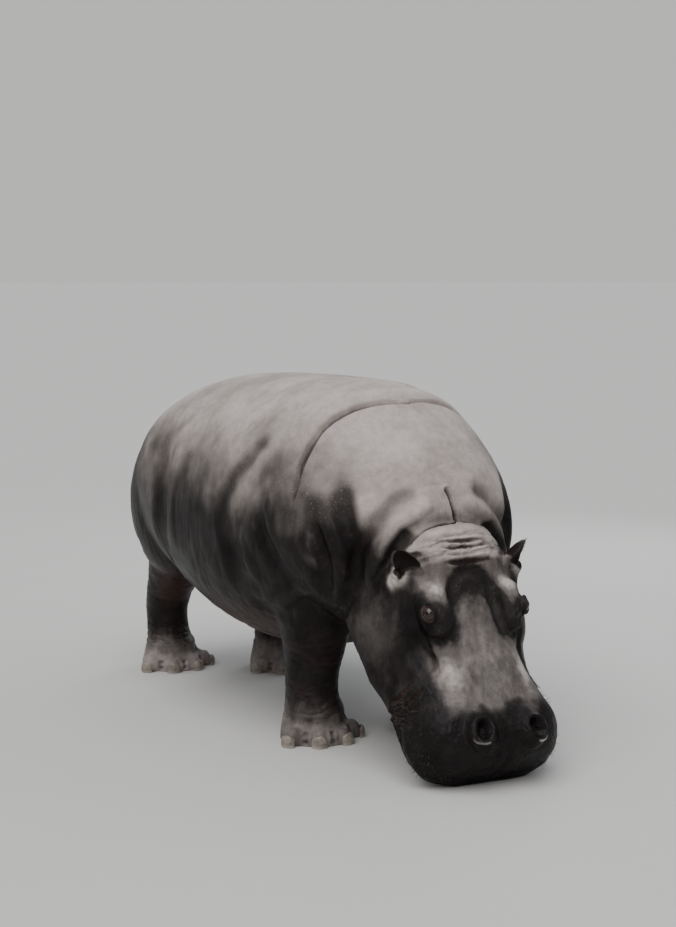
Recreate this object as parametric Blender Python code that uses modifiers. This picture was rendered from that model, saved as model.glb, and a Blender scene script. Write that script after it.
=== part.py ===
"""A hippopotamus, life size, standing with its head lowered to drink.

The body is modelled whole: lofted trunk, neck, head and legs are fused with the masses of muscle
and fat that shape them, rounded over, pressed into folds, and then parted by thin cuts into the
parts that a person would name. The animal faces -Y, its left is +X, up is +Z. Sizes in metres.
"""

import math

import bmesh
import bpy
import numpy as np
from mathutils import Matrix, Vector
from mathutils.bvhtree import BVHTree

# ---------------------------------------------------------------- driving dimensions
HEAD_PITCH = math.radians(60)   # the face turns down this far from level
HEAD_YAW = math.radians(-3)     # and this far round towards the animal's right
HEAD_ORIGIN = Vector((0.0, -1.262, 0.888))  # back of the skull, on the line of the face

FORE_TRACK = 0.275              # half the distance between the forefeet
HIND_TRACK = 0.225
FORE_RIGHT_Y, FORE_LEFT_Y = -0.61, -0.64
HIND_RIGHT_Y, HIND_LEFT_Y = 0.90, 0.62
SHOULDER_Y, HIP_Y = -0.62, 0.73
LEAN_FROM, LEAN_TO = 0.25, 0.75  # heights between which a leg leans over to its root

GAP = 0.0004                    # clear space between neighbouring parts
BODY_TRIANGLES = 4750           # of the whole body before it is parted
ANKLE = 0.15                    # height at which a foot is parted from its leg
VOXEL = 0.013                   # mesh size of the fused body
ROUNDING = 5                    # smoothing passes after fusing
RING = 64                       # points round a loft of the body
TAIL_RING, EAR_RING = 12, 14    # points round the tail and the ears
TRUNK_SQUARENESS = 2.25         # exponent of the trunk's rounded section

# Trunk stations from tail to chest: y, top, bottom, half width, height of the widest point
TRUNK = [
    (1.125, 0.99, 0.86, 0.06, 0.93),
    (1.09, 1.09, 0.74, 0.19, 0.93),
    (0.99, 1.215, 0.62, 0.32, 0.92),
    (0.84, 1.33, 0.54, 0.43, 0.92),
    (0.58, 1.42, 0.48, 0.505, 0.90),
    (0.28, 1.47, 0.40, 0.555, 0.86),
    (-0.02, 1.485, 0.33, 0.575, 0.83),
    (-0.30, 1.49, 0.315, 0.57, 0.84),
    (-0.56, 1.485, 0.37, 0.545, 0.88),
    (-0.76, 1.42, 0.46, 0.48, 0.92),
    (-0.90, 1.30, 0.56, 0.36, 0.92),
    (-0.97, 1.16, 0.70, 0.20, 0.92),
]
# Neck stations from the withers to the skull: y, z of the axis, half width, up, down
NECK = [
    (-0.40, 1.01, 0.49, 0.47, 0.50),
    (-0.60, 0.97, 0.53, 0.53, 0.48),
    (-0.78, 0.89, 0.52, 0.51, 0.43),
    (-0.92, 0.825, 0.485, 0.46, 0.38),
    (-1.03, 0.77, 0.42, 0.375, 0.34),
    (-1.11, 0.73, 0.33, 0.27, 0.28),
    (-1.16, 0.705, 0.20, 0.17, 0.19),
]
# Head stations from the nape to the muzzle's front, in the head's own frame: distance
# forward, top, then the section's outline as (half width, height): face edge, cheek, jaw; bottom
HEAD = [
    (-0.14, -0.08, (0.10, -0.11), (0.17, -0.20), (0.14, -0.32), -0.36),
    (-0.07, 0.020, (0.15, -0.02), (0.26, -0.17), (0.25, -0.38), -0.43),
    (0.02, 0.045, (0.17, 0.015), (0.29, -0.15), (0.32, -0.38), -0.47),
    (0.12, 0.040, (0.18, 0.015), (0.305, -0.15), (0.35, -0.38), -0.49),
    (0.22, 0.020, (0.185, 0.00), (0.305, -0.15), (0.36, -0.37), -0.485),
    (0.32, 0.000, (0.17, -0.02), (0.295, -0.17), (0.35, -0.35), -0.465),
    (0.43, -0.005, (0.145, -0.025), (0.285, -0.18), (0.335, -0.335), -0.435),
    (0.53, 0.000, (0.15, -0.02), (0.275, -0.16), (0.305, -0.31), -0.405),
    (0.63, 0.012, (0.18, -0.015), (0.28, -0.12), (0.295, -0.285), -0.365),
    (0.71, 0.025, (0.215, -0.015), (0.30, -0.11), (0.295, -0.265), -0.34),
    (0.79, 0.012, (0.215, -0.035), (0.30, -0.135), (0.275, -0.255), -0.315),
    (0.85, -0.035, (0.185, -0.075), (0.265, -0.16), (0.23, -0.245), -0.285),
    (0.885, -0.12, (0.11, -0.145), (0.17, -0.182), (0.13, -0.218), -0.237),
]
# Leg stations from the body to below the sole: z, forward offset, half width, half length
FORE_LEG = [
    (0.84, 0.00, 0.17, 0.26),
    (0.66, 0.01, 0.165, 0.215),
    (0.50, 0.02, 0.150, 0.175),
    (0.38, 0.015, 0.128, 0.142),
    (0.27, 0.00, 0.112, 0.122),
    (0.17, 0.005, 0.110, 0.118),
    (0.09, 0.02, 0.128, 0.138),
    (0.04, 0.03, 0.142, 0.155),
    (-0.04, 0.03, 0.145, 0.158),
]
HIND_LEG = [
    (0.86, 0.00, 0.19, 0.29),
    (0.70, 0.02, 0.175, 0.25),
    (0.55, 0.02, 0.15, 0.195),
    (0.42, -0.02, 0.120, 0.145),
    (0.30, -0.045, 0.102, 0.118),
    (0.18, -0.03, 0.100, 0.110),
    (0.09, 0.00, 0.125, 0.132),
    (0.04, 0.015, 0.142, 0.150),
    (-0.04, 0.015, 0.144, 0.152),
]
# Tail stations from root to tip: y, z of the axis, half width, half depth
TAIL = [
    (1.00, 1.14, 0.070, 0.055),
    (1.09, 1.08, 0.064, 0.050),
    (1.135, 1.00, 0.052, 0.040),
    (1.16, 0.90, 0.040, 0.030),
    (1.17, 0.80, 0.030, 0.021),
    (1.172, 0.71, 0.022, 0.014),
    (1.168, 0.645, 0.013, 0.009),
    (1.165, 0.625, 0.006, 0.005),
]
# Ear stations from base to tip: distance along the ear, half width, cup depth, thickness
EAR = [
    (-0.050, 0.022, 0.000, 0.036),
    (0.000, 0.026, 0.004, 0.036),
    (0.020, 0.037, 0.015, 0.028),
    (0.044, 0.046, 0.024, 0.018),
    (0.070, 0.045, 0.022, 0.014),
    (0.096, 0.033, 0.014, 0.012),
    (0.112, 0.018, 0.006, 0.009),
    (0.118, 0.006, 0.002, 0.006),
]
EAR_BASE = (0.205, 0.100, 0.000)     # in the head's frame
EAR_AXIS = Vector((0.70, -0.05, 0.70))    # the way the left ear points
EAR_MOUTH = Vector((0.60, -0.50, -0.60))  # the way its cup opens

EYE_CENTRE = (0.205, 0.285, 0.024)   # in the head's frame
EYE_RADIUS = 0.031
JAW_TOP = -0.245                # height of the mouth line in the head's frame

# The toes of a foot: how far each turns out from straight ahead, how far out it sits, and the
# half width, half length and half height of the toe and of the nail at its end
TOE_TURNS = (-66, -23, 23, 66)
TOE_REACH = (0.134, 0.116, 0.116, 0.134)
TOE_HEIGHT, NAIL_HEIGHT = 0.032, 0.020
TOE_RADII = (0.041, 0.058, 0.050)
NAIL_RADII = (0.028, 0.026, 0.030)
NAIL_AHEAD = 0.040
FORE_PAD, HIND_PAD = 0.030, 0.015    # how far the toes' centre lies ahead of the leg

# Folds and swellings of the skin, one side of two: frame, height, reach, path
SHAPING = [
    ("withers fold", "body", -0.016, 0.040,
     [(0.50, -0.84, 1.04), (0.46, -0.83, 1.16), (0.33, -0.82, 1.33), (0.13, -0.87, 1.41),
      (0.0, -0.90, 1.42)]),
    ("shoulder's rear hollow", "body", -0.026, 0.10,
     [(0.46, -0.52, 1.25), (0.53, -0.50, 1.08), (0.56, -0.47, 0.93), (0.54, -0.45, 0.77),
      (0.49, -0.42, 0.60)]),
    ("shoulder's front fold", "body", -0.022, 0.06,
     [(0.49, -0.92, 1.00), (0.46, -0.97, 0.89), (0.44, -0.99, 0.79), (0.39, -0.93, 0.65)]),
    ("neck hollow", "body", -0.022, 0.07,
     [(0.40, -1.02, 1.08), (0.37, -1.08, 0.98), (0.35, -1.10, 0.86), (0.35, -1.09, 0.74)]),
    ("neck fold", "body", -0.014, 0.045,
     [(0.08, -1.20, 1.06), (0.17, -1.20, 1.02), (0.24, -1.19, 0.96), (0.28, -1.17, 0.87),
      (0.30, -1.15, 0.76), (0.33, -1.12, 0.66)]),
    ("nape fold", "body", -0.014, 0.045,
     [(0.0, -1.235, 0.965), (0.08, -1.23, 0.96), (0.15, -1.22, 0.95), (0.22, -1.21, 0.90),
      (0.29, -1.16, 0.84)]),
    ("flank hollow", "body", -0.030, 0.13,
     [(0.46, 0.34, 1.25), (0.54, 0.32, 1.08), (0.56, 0.30, 0.90), (0.54, 0.34, 0.70),
      (0.46, 0.42, 0.52)]),
    ("thigh swelling", "body", 0.022, 0.22, [(0.46, 0.66, 1.05), (0.46, 0.70, 0.85)]),
    ("elbow swelling", "body", 0.030, 0.13, [(0.44, -0.52, 0.62), (0.44, -0.66, 0.56)]),
    ("temple hollow", "head", -0.026, 0.075, [(0.20, -0.02, 0.00), (0.25, 0.03, -0.06)]),
    ("brow", "head", 0.014, 0.085, [(0.15, 0.16, 0.02), (0.16, 0.21, 0.03)]),
    ("cheekbone", "head", 0.020, 0.055, [(0.255, 0.11, -0.045)]),
    ("forehead hollow", "head", -0.018, 0.075, [(0.04, 0.145, 0.04), (0.03, 0.20, 0.02)]),
    ("eye's inner hollow", "head", -0.016, 0.05, [(0.085, 0.20, 0.02), (0.105, 0.33, 0.0)]),
    ("eye's front hollow", "head", -0.022, 0.080, [(0.165, 0.40, -0.01), (0.19, 0.44, -0.04)]),
    ("cheek fold", "head", -0.026, 0.06,
     [(0.255, 0.30, -0.08), (0.235, 0.38, -0.09), (0.215, 0.46, -0.08), (0.225, 0.54, -0.09)]),
    ("mouth corner", "head", -0.028, 0.05, [(0.28, 0.56, -0.17), (0.29, 0.59, -0.25)]),
    ("bristle pad", "head", 0.014, 0.045, [(0.29, 0.635, -0.17), (0.29, 0.66, -0.22)]),
    ("nose bridge", "head", 0.012, 0.09, [(0.0, 0.30, 0.0), (0.0, 0.60, 0.01)]),
    ("nostril", "head", -0.030, 0.034, [(0.115, 0.775, 0.045)]),
]


def catmull(rows, steps):
    """Rows of numbers with `steps` smooth rows made in each gap between them."""
    rows = np.asarray(rows, float)
    padded = np.vstack([2 * rows[0] - rows[1], rows, 2 * rows[-1] - rows[-2]])
    made = []
    for i in range(len(rows) - 1):
        a, b, c, d = padded[i:i + 4]
        for t in np.arange(steps) / steps:
            made.append(0.5 * (2 * b + (c - a) * t + (2 * a - 5 * b + 4 * c - d) * t * t
                               + (3 * b - a - 3 * c + d) * t ** 3))
    made.append(rows[-1])
    return np.array(made)


def new_object(name, bm):
    """A mesh object in the scene made from a bmesh, which is freed."""
    mesh = bpy.data.meshes.new(name)
    bm.to_mesh(mesh)
    bm.free()
    obj = bpy.data.objects.new(name, mesh)
    bpy.context.scene.collection.objects.link(obj)
    return obj


def loft(name, rings):
    """A closed mesh object through rings of points, with its two ends filled."""
    count = len(rings[0])
    bm = bmesh.new()
    grid = [[bm.verts.new(p) for p in ring] for ring in rings]
    for low, high in zip(grid, grid[1:]):
        for i in range(count):
            j = (i + 1) % count
            bm.faces.new((low[i], low[j], high[j], high[i]))
    bm.faces.new(grid[0])
    bm.faces.new(grid[-1])
    bmesh.ops.recalc_face_normals(bm, faces=bm.faces)
    return new_object(name, bm)


def ellipsoid(name, centre, radii, rotation=None, subdivisions=4):
    """A ball stretched to three radii and turned."""
    bm = bmesh.new()
    bmesh.ops.create_icosphere(bm, subdivisions=subdivisions, radius=1.0)
    turn = (rotation or Matrix.Identity(3)).to_4x4()
    shape = Matrix.Translation(centre) @ turn @ Matrix.Diagonal((*radii, 1))
    bmesh.ops.transform(bm, matrix=shape, verts=bm.verts)
    return new_object(name, bm)


def trunk():
    rings = []
    for y, top, bottom, half, widest in catmull(TRUNK, 4):
        ring = []
        for a in np.linspace(0, 2 * math.pi, RING, endpoint=False):
            c, s = math.cos(a), math.sin(a)
            reach = (top - widest) if s > 0 else (widest - bottom)
            across = math.copysign(abs(c) ** (2 / TRUNK_SQUARENESS), c)
            rise = math.copysign(abs(s) ** (2 / TRUNK_SQUARENESS), s)
            ring.append((half * across, y, widest + reach * rise))
        rings.append(ring)
    return loft("trunk_mass", rings)


def neck():
    rows = catmull(NECK, 4)
    rings = []
    for i, (y, z, half, above, below) in enumerate(rows):
        before, after = rows[max(i - 1, 0)], rows[min(i + 1, len(rows) - 1)]
        along = Vector((0, after[0] - before[0], after[1] - before[1])).normalized()
        up = Vector((0, along.z, -along.y))
        ring = []
        for a in np.linspace(0, 2 * math.pi, RING, endpoint=False):
            rise = (above if math.sin(a) > 0 else below) * math.sin(a)
            ring.append(Vector((half * math.cos(a), y, z)) + up * rise)
        rings.append(ring)
    return loft("neck_mass", rings)


def head_frame():
    """Matrix from the head's own frame (x left, y forward, z out of the face) to the world."""
    axis = Vector((0, -math.cos(HEAD_PITCH), -math.sin(HEAD_PITCH)))
    normal = Vector((0, -math.sin(HEAD_PITCH), math.cos(HEAD_PITCH)))
    turn = Matrix((Vector((1, 0, 0)), axis, normal)).transposed().to_4x4()
    return Matrix.Translation(HEAD_ORIGIN) @ Matrix.Rotation(HEAD_YAW, 4, "Z") @ turn


def head():
    flat = [(u, top, *edge, *cheek, *jaw, bottom) for u, top, edge, cheek, jaw, bottom in HEAD]
    place = head_frame()
    rings = []
    for u, top, cw, ch, sw, sh, jw, jh, bottom in catmull(flat, 4):
        half = [(0, top), (cw, ch), (sw, sh), (jw, jh), (0, bottom)]
        loop = half + [(-w, h) for w, h in reversed(half[1:-1])]
        closed = np.array(loop + loop[:3])
        ring = catmull(closed, 4)[4:4 + 4 * len(loop)]
        rings.append([place @ Vector((w, u, h)) for w, h in ring])
    return loft("head_mass", rings)


def leg(name, stations, x, y, root_y):
    """A leg standing at y and leaning to its root in the body at root_y."""
    rings = []
    for z, ahead, half, length in catmull(stations, 4):
        lean = min(max((z - LEAN_FROM) / (LEAN_TO - LEAN_FROM), 0), 1)
        centre = y - ahead + (root_y - y) * lean * lean * (3 - 2 * lean)
        rings.append([(x + half * math.cos(a), centre + length * math.sin(a), z)
                      for a in np.linspace(0, 2 * math.pi, RING, endpoint=False)])
    return loft(name, rings)


def toes(x, y):
    """Four toes spread round the front of a foot whose pad is at (x, y), each with its nail."""
    made = []
    for turn, reach in zip(TOE_TURNS, TOE_REACH):
        a = math.radians(turn)
        out = Vector((math.sin(a), -math.cos(a), 0))
        spin = Matrix.Rotation(a, 3, "Z")
        toe = Vector((x, y, TOE_HEIGHT)) + out * reach
        nail = Vector((x, y, NAIL_HEIGHT)) + out * (reach + NAIL_AHEAD)
        made.append(ellipsoid("toe", toe, TOE_RADII, spin, 3))
        made.append(ellipsoid("nail", nail, NAIL_RADII, spin, 3))
    return made


def masses():
    """The muscle and fat laid over the lofts."""
    place = head_frame()
    turn = place.to_3x3()

    def on_head(name, w, u, v, radii):
        return [ellipsoid(f"{name}_{s}", place @ Vector((s * w, u, v)), radii, turn)
                for s in (-1, 1)]

    made = []
    for s in (-1, 1):
        made.append(ellipsoid("shoulder", (s * 0.33, -0.56, 0.86), (0.205, 0.30, 0.38)))
        made.append(ellipsoid("haunch", (s * 0.27, 0.72, 0.84), (0.20, 0.32, 0.38)))
    made += on_head("eye_bulge", 0.162, 0.268, -0.006, (0.078, 0.112, 0.064))
    made += on_head("cheek_bone", 0.215, 0.13, -0.085, (0.065, 0.11, 0.07))
    made += on_head("jowl", 0.20, 0.22, -0.27, (0.150, 0.26, 0.20))
    made += on_head("nostril_bulge", 0.105, 0.765, 0.004, (0.062, 0.085, 0.045))
    made += on_head("lip_pad", 0.175, 0.73, -0.15, (0.130, 0.135, 0.135))
    return made


def fuse(name, pieces, voxel, rounds):
    """One closed rounded body from overlapping pieces, which are removed."""
    bm = bmesh.new()
    for piece in pieces:
        bm.from_mesh(piece.data)
        bpy.data.objects.remove(piece)
    obj = new_object(name, bm)
    remesh = obj.modifiers.new("fuse", "REMESH")
    remesh.mode = "VOXEL"
    remesh.voxel_size = voxel
    smooth = obj.modifiers.new("round", "SMOOTH")
    smooth.factor = 0.5
    smooth.iterations = rounds
    settle(obj)
    return obj


def settle(obj):
    """Replaces an object's mesh by the one its modifiers make."""
    graph = bpy.context.evaluated_depsgraph_get()
    made = bpy.data.meshes.new_from_object(obj.evaluated_get(graph))
    obj.modifiers.clear()
    obj.data = made


def reach_of(points, path, reach, taper):
    """1 on a path, falling to 0 at `reach` from it, and fading over its two ends."""
    best = np.full(len(points), np.inf)
    where = np.zeros(len(points))
    legs = np.linalg.norm(np.diff(path, axis=0), axis=1)
    start = np.concatenate([[0], np.cumsum(legs)])
    for a, b, length, begun in zip(path, path[1:], legs, start):
        t = np.clip((points - a) @ (b - a) / max(length ** 2, 1e-12), 0, 1)
        far = np.linalg.norm(points - a - t[:, None] * (b - a), axis=1)
        nearer = far < best
        best[nearer] = far[nearer]
        where[nearer] = begun + t[nearer] * length
    ends = np.clip(np.minimum(where, start[-1] - where) / max(taper, 1e-9), 0, 1)
    fade = ends * ends * (3 - 2 * ends) if taper else 1.0
    return (1 - np.minimum(best / reach, 1) ** 2) ** 2 * fade


def shape(obj, strokes, place):
    """Raises or sinks the surface along each stroke's path, on both sides of the animal."""
    mesh = obj.data
    count = len(mesh.vertices)
    points = np.empty(count * 3)
    mesh.vertices.foreach_get("co", points)
    points = points.reshape(-1, 3)
    polygons = [tuple(p.vertices) for p in mesh.polygons]
    normals = np.empty(count * 3)
    for _, frame, height, reach, path in strokes:
        mesh.vertices.foreach_set("co", points.ravel())
        mesh.update()
        mesh.vertex_normals.foreach_get("vector", normals)
        surface = BVHTree.FromPolygons(points, polygons)
        dense = catmull(path, 4) if len(path) > 1 else [path[0], path[0]]
        lift = np.zeros(count)
        for side in (-1, 1):
            line = [Vector((side * x, y, z)) for x, y, z in dense]
            if frame == "head":
                line = [place @ p for p in line]
            line = np.array([surface.find_nearest(p)[0] for p in line])
            closed = abs(dense[0][0]) < 0.05
            taper = 0.0 if closed or len(path) == 1 else 1.5 * reach
            lift = np.maximum(lift, reach_of(points, line, reach, taper))
        points = points + normals.reshape(-1, 3) * (height * lift)[:, None]
    mesh.vertices.foreach_set("co", points.ravel())
    mesh.update()


def prism(name, outline, low, high, basis, grow=0.0):
    """A block with the given outline, from `low` to `high` along the basis's third axis."""
    corners = np.array(outline, float)
    before, after = np.roll(corners, 1, axis=0), np.roll(corners, -1, axis=0)
    area = (corners[:, 0] * after[:, 1] - corners[:, 1] * after[:, 0]).sum()
    turn = math.copysign(1, area)

    def outward(a, b):
        d = (b - a) / np.linalg.norm(b - a, axis=1)[:, None]
        return turn * np.column_stack([d[:, 1], -d[:, 0]])

    first, second = outward(before, corners), outward(corners, after)
    corners = corners + grow * (first + second) / (1 + (first * second).sum(1))[:, None]
    bm = bmesh.new()
    ends = [[bm.verts.new((a, b, c)) for a, b in corners] for c in (low - grow, high + grow)]
    count = len(corners)
    for i in range(count):
        j = (i + 1) % count
        bm.faces.new((ends[0][i], ends[0][j], ends[1][j], ends[1][i]))
    bm.faces.new(ends[0])
    bm.faces.new(ends[1])
    bmesh.ops.transform(bm, matrix=basis, verts=bm.verts)
    bmesh.ops.recalc_face_normals(bm, faces=bm.faces)
    return new_object(name, bm)


def cut(obj, tool, operation):
    """Applies one Boolean and removes its tool."""
    step = obj.modifiers.new("cut", "BOOLEAN")
    step.operation = operation
    step.solver = "EXACT"
    step.object = tool
    settle(obj)
    bpy.data.objects.remove(tool)


def part_off(body, name, outline, low, high, basis):
    """Cuts a named piece from a body along a prism, with a thin gap left between the two."""
    piece = body.copy()
    piece.data = body.data.copy()
    piece.name = name
    bpy.context.scene.collection.objects.link(piece)
    cut(piece, prism("cutter", outline, low, high, basis), "INTERSECT")
    cut(body, prism("cutter", outline, low, high, basis, GAP), "DIFFERENCE")
    return piece


def swollen(obj, by):
    """A copy of an object with its surface moved out a little."""
    copy = obj.copy()
    copy.data = obj.data.copy()
    bpy.context.scene.collection.objects.link(copy)
    push = copy.modifiers.new("push", "DISPLACE")
    push.mid_level = 0.0
    push.strength = by
    settle(copy)
    return copy


def tail():
    rings = []
    for y, z, half, deep in catmull(TAIL, 2):
        rings.append([(half * math.cos(a), y + deep * math.sin(a), z)
                      for a in np.linspace(0, 2 * math.pi, TAIL_RING, endpoint=False)])
    return loft("tail", rings)


def ear(name, side, place):
    """A cupped leaf on a short stalk, opening forwards and outwards."""
    mirror = Matrix.Diagonal((side, 1, 1))
    axis = (mirror @ EAR_AXIS).normalized()
    mouth = mirror @ EAR_MOUTH
    mouth = (mouth - mouth.dot(axis) * axis).normalized()
    across = axis.cross(mouth)
    base = place @ Vector((side * EAR_BASE[0], EAR_BASE[1], EAR_BASE[2]))
    rings = []
    for along, half, cup, thick in catmull(EAR, 1):
        ring = []
        for a in np.linspace(0, 2 * math.pi, EAR_RING, endpoint=False):
            c, s = math.cos(a), math.sin(a)
            lift = cup * (c * c - 0.5) + 0.5 * thick * s
            ring.append(base + axis * along + across * (half * c) + mouth * lift)
        rings.append(ring)
    return loft(name, rings)


def lighten(obj, triangles):
    """Reduces a mesh to about a number of triangles, most of them where it bends most."""
    faces = sum(len(p.vertices) - 2 for p in obj.data.polygons)
    fewer = obj.modifiers.new("lighten", "DECIMATE")
    fewer.use_collapse_triangulate = True
    fewer.ratio = triangles / faces
    settle(obj)


SHARP_ANGLE = math.radians(40)      # two faces that meet at more than this show an edge
# Colour and roughness of each kind of part
FINISHES = {
    "hide": ((0.190, 0.165, 0.155), 0.55),
    "neck": ((0.200, 0.172, 0.162), 0.60),
    "head": ((0.150, 0.128, 0.122), 0.42),
    "lower": ((0.090, 0.076, 0.074), 0.32),
    "ear": ((0.110, 0.080, 0.076), 0.50),
    "eye": ((0.018, 0.010, 0.008), 0.05),
    "leg": ((0.090, 0.077, 0.072), 0.45),
    "foot": ((0.105, 0.090, 0.083), 0.55),
    "tail": ((0.110, 0.094, 0.088), 0.50),
}

# Outlines of the parting cuts, in the planes named beside them
FORE_LEG_CUT = [(0.09, -0.1), (0.09, 0.41), (0.60, 0.68), (0.85, 0.68), (0.85, -0.1)]   # x, z
HIND_LEG_CUT = [(0.03, -0.1), (0.03, 0.30), (0.06, 0.46), (0.60, 0.74), (0.85, 0.74),
                (0.85, -0.1)]                                                           # x, z
FORE_REACH = (-0.885, -0.35)    # y of the foreleg cuts' ends
HIND_REACH_RIGHT, HIND_REACH_LEFT = (0.54, 1.3), (0.31, 1.3)
HEAD_CUT = [(-1.60, 1.21), (-1.238, 0.968), (-1.215, 0.90), (-1.15, 0.78), (-1.10, 0.66),
            (-0.93, 0.42), (-0.93, -0.1), (-2.2, -0.1), (-2.2, 1.21)]                   # y, z
NECK_CUT = [(-0.95, 1.7), (-0.89, 1.42), (-0.83, 1.30), (-0.835, 1.04), (-0.86, 0.2),
            (-2.2, 0.2), (-2.2, 1.7)]                                                   # y, z
JAW_CUT = [(0.33, -0.8), (0.33, -0.30), (0.56, JAW_TOP), (1.2, JAW_TOP), (1.2, -0.8)]    # u, v

ACROSS = Matrix(((0, 0, 1, 0), (1, 0, 0, 0), (0, 1, 0, 0), (0, 0, 0, 1)))   # y, z, then x
ALONG = Matrix(((1, 0, 0, 0), (0, 0, 1, 0), (0, 1, 0, 0), (0, 0, 0, 1)))    # x, z, then y


def mirrored(outline, side):
    return [(side * x, z) for x, z in outline]


def part_legs(body):
    """The four legs, each with its foot parted from it."""
    pieces = []
    for side, word in ((-1, "right"), (1, "left")):
        hind = HIND_REACH_RIGHT if side < 0 else HIND_REACH_LEFT
        for pair, outline, span in (("fore", FORE_LEG_CUT, FORE_REACH),
                                    ("hind", HIND_LEG_CUT, hind)):
            limb = part_off(body, f"leg_{pair}_{word}", mirrored(outline, side), *span, ALONG)
            sole = [(-1, -0.1), (-1, ANKLE), (1, ANKLE), (1, -0.1)]
            pieces += [limb, part_off(limb, f"foot_{pair}_{word}", sole, -2, 2, ALONG)]
    return pieces


def part_head(body, place):
    """Head, lower jaw, eyes and ears."""
    skull = part_off(body, "head", HEAD_CUT, -1, 1, ACROSS)
    across = place @ ACROSS
    jaw = part_off(skull, "lower_jaw", JAW_CUT, -1, 1, across)
    pieces = [skull, jaw]
    for side, word in ((-1, "right"), (1, "left")):
        centre = place @ Vector((side * EYE_CENTRE[0], EYE_CENTRE[1], EYE_CENTRE[2]))
        socket = EYE_RADIUS + GAP
        cut(skull, ellipsoid("socket", centre, (socket,) * 3, subdivisions=3), "DIFFERENCE")
        pieces.append(ellipsoid(f"eye_{word}", centre, (EYE_RADIUS,) * 3, subdivisions=3))
    return pieces


def legs_and_feet():
    """The legs' lofts and the toes laid on their feet."""
    made = []
    for stations, track, pad, root_y, stances in (
            (FORE_LEG, FORE_TRACK, FORE_PAD, SHOULDER_Y, (FORE_RIGHT_Y, FORE_LEFT_Y)),
            (HIND_LEG, HIND_TRACK, HIND_PAD, HIP_Y, (HIND_RIGHT_Y, HIND_LEFT_Y))):
        for side, y in zip((-1, 1), stances):
            made.append(leg("leg", stations, side * track, y, root_y))
            made += toes(side * track, y - pad)
    return made


def sharpen(obj):
    """Smooth shading, broken where two faces meet at a corner."""
    obj.data.shade_smooth()
    obj.data.set_sharp_from_angle(angle=SHARP_ANGLE)


def finish(obj):
    """Gives a part the finish of its kind, under its own name."""
    kind = obj.name.split("_")[0]
    colour, roughness = FINISHES.get(kind, FINISHES["hide"])
    material = bpy.data.materials.new(f"{obj.name}_finish")
    material.use_nodes = True
    shader = material.node_tree.nodes["Principled BSDF"]
    shader.inputs["Base Color"].default_value = (*colour, 1)
    shader.inputs["Roughness"].default_value = roughness
    shader.inputs["Metallic"].default_value = 0.0
    obj.data.materials.clear()
    obj.data.materials.append(material)


def set_down(parts):
    """Moves the parts so that the origin lies under the middle of the whole, on the floor, each
    part placed by its own middle and held by one empty."""
    points = [vertex.co for part in parts for vertex in part.data.vertices]
    low = Vector([min(p[k] for p in points) for k in range(3)])
    high = Vector([max(p[k] for p in points) for k in range(3)])
    origin = Vector(((low.x + high.x) / 2, (low.y + high.y) / 2, low.z))
    animal = bpy.data.collections.new("hippopotamus")
    bpy.context.scene.collection.children.link(animal)
    whole = bpy.data.objects.new("whole", None)
    animal.objects.link(whole)
    for part in parts:
        middle = sum((v.co for v in part.data.vertices), Vector()) / len(part.data.vertices)
        part.data.transform(Matrix.Translation(-middle))
        part.location = middle - origin
        part.parent = whole
        bpy.context.scene.collection.objects.unlink(part)
        animal.objects.link(part)


def body_mass(place):
    """Everything but ears, eyes and tail, as one body on its feet."""
    body = fuse("trunk", [trunk(), neck(), head(), *legs_and_feet(), *masses()], VOXEL, ROUNDING)
    shape(body, SHAPING, place)
    lighten(body, BODY_TRIANGLES)
    floor = [(-1, -1), (-1, 0), (1, 0), (1, -1)]
    cut(body, prism("floor", floor, -2, 2, ALONG), "DIFFERENCE")
    return body


def main():
    for obj in list(bpy.data.objects):
        bpy.data.objects.remove(obj)
    place = head_frame()
    body = body_mass(place)
    skin = swollen(body, GAP)
    parts = part_legs(body)
    parts += part_head(body, place)
    parts.append(part_off(body, "neck", NECK_CUT, -1, 1, ACROSS))
    for side, word in ((-1, "right"), (1, "left")):
        grown = ear(f"ear_{word}", side, place)
        cut(grown, swollen(skin, 0.0), "DIFFERENCE")
        parts.append(grown)
    rump = tail()
    cut(rump, skin, "DIFFERENCE")
    parts += [body, rump]
    for part in parts:
        sharpen(part)
        finish(part)
    set_down(parts)


if __name__ == "__main__":
    main()
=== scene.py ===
"""The looks of a life-size hippopotamus that stands with its head lowered to drink.

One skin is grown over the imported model: the same masses as the solids, fused at a finer grain,
pressed into folds, lids and nostrils, and dressed in a hide that is pale and dry on the back and
dark and wet below. Eyes, nails and bristles are pieces of their own. Sizes are in metres. The
animal faces -Y, its left is +X.
"""

import logging
import math
from dataclasses import dataclass, field
from enum import Enum

import bmesh
import bpy
import numpy as np
from bmesh.types import BMesh
from bpy.types import Material, Mesh, Node, NodeSocket, NodeTree, Object
from mathutils import Matrix, Vector
from mathutils.bvhtree import BVHTree
from mathutils.kdtree import KDTree


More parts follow.
